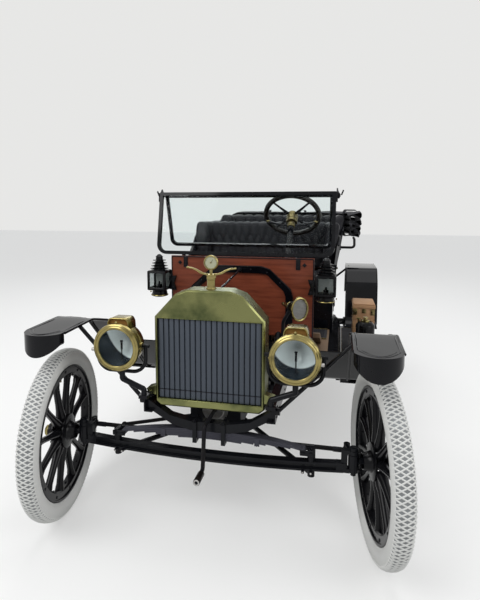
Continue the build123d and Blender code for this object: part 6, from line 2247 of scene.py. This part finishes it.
@dataclass(frozen=True)
class SeatCushion:
    """A sprung seat cushion: inflated by simulation, then tufted, buttoned and welted."""

    name: str
    front: float
    back: float
    foot: float
    top: float
    half_width: float = 458.0
    corner: float = 26.0
    rise: float = 24.0
    voxel: float = 0.0065
    frames: int = 20
    tufting: Tufting = Tufting(116.0, 66.0, 62.0, 3, 14.0)

    def _solid(self) -> bpy.types.Object:
        """Makes the cushion's plain form, a little small.

        Returns:
            The form, as an object in metres.
        """
        bm = bmesh.new()
        low = Vector((-self.half_width, self.front + 14, self.foot + 2))
        high = Vector((self.half_width, self.back - 10, self.top - self.rise))
        bmesh.ops.create_cube(bm, size=1.0, matrix=Matrix.Translation((low + high) / 2) @ stretched(high - low))
        eased(bm, bm.edges[:], self.corner, 5)
        bmesh.ops.transform(bm, matrix=TO_FRAME, verts=bm.verts)
        form = added(self.name + "_form", bm)
        remesh = form.modifiers.new("even_mesh", "REMESH")
        remesh.mode, remesh.voxel_size = "VOXEL", self.voxel
        return form

    @staticmethod
    def _evaluated(form: bpy.types.Object) -> bpy.types.Mesh:
        """The object's mesh with its modifiers applied."""
        graph = bpy.context.evaluated_depsgraph_get()
        return bpy.data.meshes.new_from_object(form.evaluated_get(graph))

    def _inflated(self) -> bpy.types.Mesh:
        """Swells the form by cloth simulation, with each point's travel capped.

        Returns:
            The cushion's mesh, in metres.
        """
        form = self._solid()
        even = self._evaluated(form)
        form.modifiers.clear()
        form.data = even
        rest = [vert.co.copy() for vert in even.vertices]
        cloth = form.modifiers.new("swell", "CLOTH")
        settings = cloth.settings
        settings.use_pressure = True
        settings.uniform_pressure_force = 4.0
        settings.effector_weights.gravity = 0.0
        settings.quality = 5
        settings.tension_stiffness = settings.compression_stiffness = 12.0
        settings.bending_stiffness = 0.4
        cloth.collision_settings.use_collision = False
        cloth.point_cache.frame_start, cloth.point_cache.frame_end = 1, self.frames
        for number in range(1, self.frames + 1):
            bpy.context.scene.frame_set(number)
        swollen = self._evaluated(form)
        cap = 0.001 * self.rise
        for vert, origin in zip(even.vertices, rest):
            travel = swollen.vertices[vert.index].co - origin
            if travel.length > cap:
                travel = travel.normalized() * cap
            vert.co = origin + travel
        bpy.data.meshes.remove(swollen)
        bpy.context.scene.frame_set(1)
        bpy.data.objects.remove(form)
        return even

    def build(self) -> None:
        """Makes the cushion, its buttons and its welts."""
        started = time.perf_counter()
        mesh = self._inflated()
        cushion = Piece()
        bm = cushion.fresh()
        bm.from_mesh(mesh)
        bpy.data.meshes.remove(mesh)
        bmesh.ops.transform(bm, matrix=TO_FRAME.inverted(), verts=bm.verts)
        bm.normal_update()
        self._tufted(bm)
        cushion.dress(bm, LEATHER)
        bm.normal_update()
        tree = BVHTree.FromBMesh(bm)
        for along, down in self.tufting.buttons(2 * self.half_width - 90):
            hit = tree.ray_cast(Vector((along, self.front + 8 + down, self.top + 80)), Vector(DOWN))
            if hit[0] is not None:
                cushion.rivet(hit[0] + Vector((0, 0, 1.5)), UP, 10.0, LEATHER)
        self._welts(cushion, tree)
        piece = cushion.place(self.name, "leather", "seat_cushions", sharp=60.0)
        log.info("%s took %.1f s", self.name, time.perf_counter() - started)

    def _tufted(self, bm: bmesh.types.BMesh) -> None:
        """Sinks the cover between its buttons.

        Args:
            bm: The swollen mesh, in millimetres and stations.
        """
        for vert in bm.verts:
            up = ease(vert.normal.z, 0.15, 0.75)
            forward = ease(-vert.normal.y, 0.3, 0.8)
            border = min(self.half_width - abs(vert.co.x), self.back - 12 - vert.co.y)
            down = vert.co.y - self.front - 8 - (self.top - 20 - vert.co.z) * forward
            vert.co -= vert.normal * (self.tufting.relief(vert.co.x, down) * ease(border, 4.0, 60.0) * up)
            vert.co.z = max(vert.co.z, self.foot + 0.8)

    def _welts(self, cushion: Piece, tree: BVHTree) -> None:
        """Adds the two welts round the cushion.

        Args:
            cushion: The piece.
            tree: The cover's faces.
        """
        half, front, back = self.half_width, self.front, self.back
        for height in (self.foot + 22, self.top - self.rise - 16):
            path = []
            for x, y in cross(2 * half + 160, back - front + 160, 90.0, 10):
                start = Vector((x, y + (front + back) / 2, height))
                aim = Vector((max(60 - half, min(half - 60, x)), max(front + 70, min(back - 70, start.y)), height))
                hit = tree.ray_cast(start, (aim - start).normalized())
                if hit[0] is not None:
                    path.append(hit[0])
            cushion.tube(path, 5.5, LEATHER, 8, 8, loop=True)


@dataclass(frozen=True)
class FoldedTop:
    """The lowered top: one cloth in zigzag folds round the rear seat, with wooden bows and leather straps."""

    layers: int = 8
    foot: float = 1196.0
    crown: float = 1424.0
    steps: int = 250
    across: int = 176
    straps: tuple[float, ...] = (0.13, 0.4, 0.6, 0.87)
    outer: TubLine = TubLine(2168.0, (2962.0, 728.0, 1150.0, 230.0), (2962.0, 728.0, 1442.0, 230.0))
    inner: TubLine = TubLine(2168.0, (2690.0, 612.0, 1150.0, 150.0), (2690.0, 612.0, 1442.0, 150.0))

    def fold(self, part: float, layer: int) -> tuple[float, float]:
        """How far out and how far up the cloth is on its way through one layer.

        Args:
            part: How far through the layer, from 0 to 1.
            layer: The layer's number from below.

        Returns:
            The share of the way out and the share of the way up.
        """
        bend, reach, slope = 0.24, 0.14, 0.8
        if part < bend and layer > 0:
            angle = QUARTER_TURN * (1.0 - part / bend)
            along, height = reach * (1.0 - sin(angle)), layer - 0.1 + 0.79 * cos(angle)
        elif part > 1.0 - bend and layer < self.layers - 1:
            angle = QUARTER_TURN * (1.0 - (1.0 - part) / bend)
            along, height = 1.0 - reach * (1.0 - sin(angle)), layer + 0.9 - 0.79 * cos(angle)
        else:
            along = reach + (1.0 - 2.0 * reach) * (part - bend) / (1.0 - 2.0 * bend)
            height = layer + slope * (1.0 - along)
        return (along if layer % 2 == 0 else 1.0 - along), height / (self.layers - 0.3)

    def settled(self, across: float, height: float) -> float:
        """Lowers a height towards the foot on the car's right, where the old top has sunk."""
        return self.foot + (height - self.foot) * (1.0 - 0.44 * ease(-across, 470.0, 640.0))

    def point(self, share: float, climb: float) -> Vector:
        """A point of the cloth.

        Args:
            share: How far round the seat, from 0 to 1.
            climb: How far through the folds, from 0 to 1.

        Returns:
            The point.
        """
        count = climb * self.layers
        layer = int(min(count, self.layers - 1))
        width, rise = self.fold(count - layer, layer)
        place = Vector((share * 9.0, count * 0.9, 3.0))
        sway = noise.noise(Vector((share * 7.0, layer * 5.3, 1.0)))
        ruck = noise.noise(Vector((share * 30.0, width * 1.1 + layer * 0.35, 7.0)))
        fine = noise.noise(Vector((share * 84.0, width * 1.5 + layer * 0.5, 11.0)))
        end = min(share, 1.0 - share) * 2500.0
        slack = 1.0 - ease(end, 0.0, 170.0)
        pinch = 1.0 - 0.45 * slack * (1.0 - rise)
        if layer == self.layers - 1:
            ruck, fine = 0.4 * ruck, 0.4 * fine
        for strap in self.straps:
            pinch -= 0.1 * exp(-((share - strap) / 0.016) ** 2)
        lean = 0.5 + (width - 0.5) * (0.9 + 0.12 * sway) * pinch
        inside, outside = self.sides(share)
        spot = inside.lerp(outside, lean)
        slump = -14.0 * (1.0 - ease(end, 0.0, 200.0)) + 16.0 * sin(pi * share) * (0.5 - width)
        middle = (self.foot + self.crown) / 2
        height = self.foot + (self.crown - self.foot) * rise
        height = middle + (height - middle) * (0.55 + 0.45 * pinch) - 44.0 * slack * (1.0 - rise)
        height += slump * rise + 5.0 * ruck + 2.0 * fine + 5.0 * noise.noise(place)
        out = (outside - inside).normalized()
        push = (20.0 * ruck + 6.0 * fine) * (width - 0.5) * (1.0 + 2.0 * slack) + 22.0 * slack * width
        jag = 30.0 * slack * noise.noise(Vector((layer * 2.3, width * 2.7, share * 2.0)))
        height = self.settled(spot.x, min(height, 1438.0))
        if slack == 0.0:
            height = max(height, 1184.0)
        return Vector((spot.x, spot.y + jag, height)) + out * push

    def build(self) -> None:
        """Makes the cloth, the bows and the straps."""
        self.cloth()
        self.bows()
        self.ties()

    def cloth(self) -> None:
        """Makes the cloth, one sheet in folds."""
        cloth = Piece()
        bm = cloth.fresh()
        bmesh.ops.create_grid(bm, x_segments=self.steps, y_segments=self.across, size=0.5)
        for vert in bm.verts:
            vert.co = self.point(vert.co.x + 0.5, vert.co.y + 0.5)
        cloth.dress(bm, TOP_CLOTH)
        piece = cloth.place("folded_top_cloth", "top_cloth", "folded_top", sharp=75.0)
        hem = piece.modifiers.new("cloth_thickness", "SOLIDIFY")
        hem.thickness, hem.offset = 0.0024, 0.0

    def bows(self) -> None:
        """Makes the wooden bows with their iron ends."""
        bows = Piece()
        for height in (1238.0, 1296.0, 1352.0):
            path = []
            for step in range(41):
                inside, outside = self.sides(step / 40, height)
                spot = inside.lerp(outside, 0.5 + 0.1 * sin(height))
                path.append(Vector((spot.x, spot.y, self.settled(spot.x, height))))
            forward = Vector((0, -16, 0))
            path = [path[0] + forward, *path, path[-1] + forward]
            bows.tube(path, 13, RIM_WOOD, 0, 12, flat=0.6)
            for place in (path[0], path[-1]):
                bows.rod(place + Vector((0, 34, 0)), place + Vector((0, -2, 0)), 16, BLACK_IRON, sides=20, bevel=2)
        bows.place("top_bows", "wheel_wood")

    def ties(self) -> None:
        """Makes the leather straps with their buckles."""
        straps = Piece()
        high, low = self.crown + 8, self.foot - 6
        for share in self.straps:
            inside, outside = self.sides(share)
            out = (outside - inside).normalized()
            near, far = inside - out * 4, outside + out * 4
            path = [(spot.x, spot.y, self.settled(spot.x, height))
                    for spot, height in ((near, high), (far, high), (far, low), (near, low))]
            straps.tube(path, 13, LEATHER, 46, 10, flat=0.16, loop=True)
            buckle = outside + out * 5
            mark = straps.mark()
            straps.tube([(-17, -13, 0), (17, -13, 0), (17, 13, 0), (-17, 13, 0)], 2.6, OLD_BRASS, 5, 8, loop=True)
            straps.moved(facing((buckle.x, buckle.y, self.settled(buckle.x, 1330.0)), out, UP), mark)
        straps.place("top_straps", "leather")

    def sides(self, share: float, height: float = 1200.0) -> tuple[Vector, Vector]:
        """The folds' inner and outer line at a share of the way round the seat."""
        return self.inner.at(share, height, 0.0)[0], self.outer.at(share, height, 0.0)[0]


@dataclass(frozen=True)
class Studio:
    """The floor, the soft lights and the camera at the photograph's viewpoint."""

    eye: Color = (0.5307, -3.1650, 1.3923)
    yaw: float = radians(-12.14)
    pitch: float = radians(6.22)
    roll: float = radians(0.19)
    lens: float = 27.64
    shift_down: float = 0.0598
    lamps: tuple[tuple[str, Color, Color, float, float], ...] = (
        ("key", (-2.6, -4.2, 4.2), (0.0, -0.3, 0.7), 3.0, 120.0),
        ("fill", (4.2, -2.8, 3.0), (0.0, -0.2, 0.7), 3.0, 68.0),
        ("top", (0.0, 0.6, 5.2), (0.0, 0.3, 0.5), 4.0, 95.0),
        ("back", (-1.8, 5.2, 4.4), (0.0, 0.5, 0.8), 3.0, 70.0))

    def camera(self) -> None:
        """Places the camera."""
        ahead = Vector((sin(self.yaw) * cos(self.pitch), cos(self.yaw) * cos(self.pitch), -sin(self.pitch)))
        right = Vector((cos(self.yaw), -sin(self.yaw), 0.0))
        up = right.cross(ahead)
        axes = (right * cos(self.roll) + up * sin(self.roll), up * cos(self.roll) - right * sin(self.roll), -ahead)
        data = bpy.data.cameras.new("viewpoint")
        data.lens, data.shift_y, data.clip_start = self.lens, -self.shift_down, 0.05
        view = linked(bpy.data.objects.new("viewpoint", data))
        view.matrix_world = Matrix.Translation(self.eye) @ Matrix(axes).transposed().to_4x4()
        bpy.context.scene.camera = view

    @staticmethod
    def pale(nodes: Nodes, lit: Socket, seen: Socket, out: Socket) -> None:
        """Shows one shader to the camera and to reflections, and another to light.

        Args:
            nodes: The nodes of the floor or the world.
            lit: What lights the car.
            seen: What is seen.
            out: The output's socket.
        """
        path = nodes.add("ShaderNodeLightPath")
        rays = path.outputs["Is Camera Ray"]
        for name in ("Is Glossy Ray", "Is Transmission Ray"):
            most = nodes.add("ShaderNodeMath", operation="MAXIMUM")
            nodes.link(rays, most.inputs[0])
            nodes.link(path.outputs[name], most.inputs[1])
            rays = most.outputs[0]
        choice = nodes.add("ShaderNodeMixShader")
        for source, socket in zip((rays, lit, seen), choice.inputs):
            nodes.link(source, socket)
        nodes.link(choice.outputs[0], out)

    def world(self) -> None:
        """Makes the pale surroundings."""
        world = bpy.data.worlds.new("pale_room")
        nodes = Nodes(world)
        seen = nodes.tree.nodes["Background"]
        seen.inputs["Color"].default_value = (0.80, 0.80, 0.79, 1.0)
        seen.inputs["Strength"].default_value = 1.0
        lit = nodes.add("ShaderNodeBackground", Color=(0.95, 0.97, 1.0, 1.0), Strength=0.55)
        self.pale(nodes, lit.outputs[0], seen.outputs[0], nodes.tree.nodes["World Output"].inputs["Surface"])
        bpy.context.scene.world = world

    def floor(self) -> None:
        """Lays the pale floor, which is not part of the car."""
        bm = bmesh.new()
        bmesh.ops.create_grid(bm, x_segments=1, y_segments=1, size=30.0)
        floor = added("studio_floor", bm)
        pale = bpy.data.materials.new("pale_floor")
        nodes = Nodes(pale)
        nodes.fix({"Base Color": (0.50, 0.50, 0.495, 1.0), "Roughness": 0.9, "Specular IOR Level": 0.1})
        glow = nodes.add("ShaderNodeEmission", Color=(0.42, 0.42, 0.415, 1.0))
        both = nodes.add("ShaderNodeAddShader")
        nodes.link(nodes.shader.outputs[0], both.inputs[0])
        nodes.link(glow.outputs[0], both.inputs[1])
        self.pale(nodes, nodes.shader.outputs[0], both.outputs[0],
                  nodes.tree.nodes["Material Output"].inputs["Surface"])
        floor.data.materials.append(pale)

    def build(self) -> None:
        """Makes the whole set, with soft square lamps that face the car."""
        bpy.context.scene.view_settings.view_transform = "Standard"
        self.camera()
        self.world()
        self.floor()
        for name, place, target, size, watts in self.lamps:
            data = bpy.data.lights.new(name, "AREA")
            data.energy, data.size = watts, size
            lamp = linked(bpy.data.objects.new(name, data))
            lamp.matrix_world = facing(place, Vector(place) - Vector(target))
ASSEMBLIES: list = [
    Radiator(), Headlamps(), OilLamps(), Horn(), *TRACED_PARTS, FrontDressing(), Springs(), Frame(), Linkage(), Dash(),
    Windshield(), Bodywork(), Crate(), Generator(), EngineBay(), Steering(), Floor(),
    TuftedBack("front_seat_back", TubLine(1235.0, (1610.0, 500.0, 880.0, 90.0), (1650.0, 542.0, 1230.0, 120.0)), 1004.0,
               84.0, ((1510.0, 1336.0), (1405.0, 1196.0), (1325.0, 1154.0), (1225.0, 1066.0)),
               ((1520.0, 1230.0), (1325.0, 1120.0), (1217.0, 1060.0)), Tufting(78.0, 60.0, 138.0, 3, 10.0)),
    TuftedBack("rear_seat_back", TubLine(2070.0, (2560.0, 500.0, 880.0, 130.0), (2630.0, 572.0, 1270.0, 170.0)), 1014.0,
               90.0, ((2400.0, 1386.0), (2270.0, 1226.0), (2166.0, 1184.0), (2046.0, 1096.0)),
               ((2400.0, 1270.0), (2186.0, 1150.0), (2030.0, 1090.0)), Tufting(126.0, 76.0, 98.0, 3, 16.0)),
    SeatCushion("front_cushion", 1211.0, 1490.0, 880.0, 1000.0),
    SeatCushion("rear_cushion", 2042.0, 2400.0, 880.0, 1010.0, tufting=Tufting(122.0, 74.0, 66.0, 4, 15.0)),
    FoldedTop(),
]


SLOT_FINISHES: dict[str, Finish] = {
    "chassis_paint": CHASSIS_BLACK, "body_paint": COACH_BLACK, "lamp_enamel": LAMP_BLACK,
    "core_paint": CORE, "brass": BRASS, "spring_steel": SPRING,
    "dark_iron": BLACK_IRON, "bare_iron": RAW_IRON, "cast_iron": CASTING,
    "varnished_wood": DASH_WOOD, "floor_wood": FLOOR_WOOD, "box_wood": BOX_WOOD,
    "wheel_wood": WHEEL_BLACK, "white_rubber": TYRE, "leather": LEATHER,
    "top_cloth": TOP_CLOTH, "glass": PANE,
}


def dress_nodes() -> None:
    """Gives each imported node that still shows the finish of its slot."""
    for row in frame["record"]["subparts"]:
        node = frame["nodes"][row["node"]]
        node.data.materials.clear()
        node.data.materials.append(SLOT_FINISHES[row["material_slot"]].material())


def main() -> None:
    """Builds the car's looks in order."""
    Studio().build()
    dress_nodes()
    for front in (True, False):
        for side in Side:
            RoadWheel(side, front).build()
    for assembly in ASSEMBLIES:
        assembly.build()


if __name__ == "__main__":
    logging.basicConfig(level=logging.INFO)
    main()
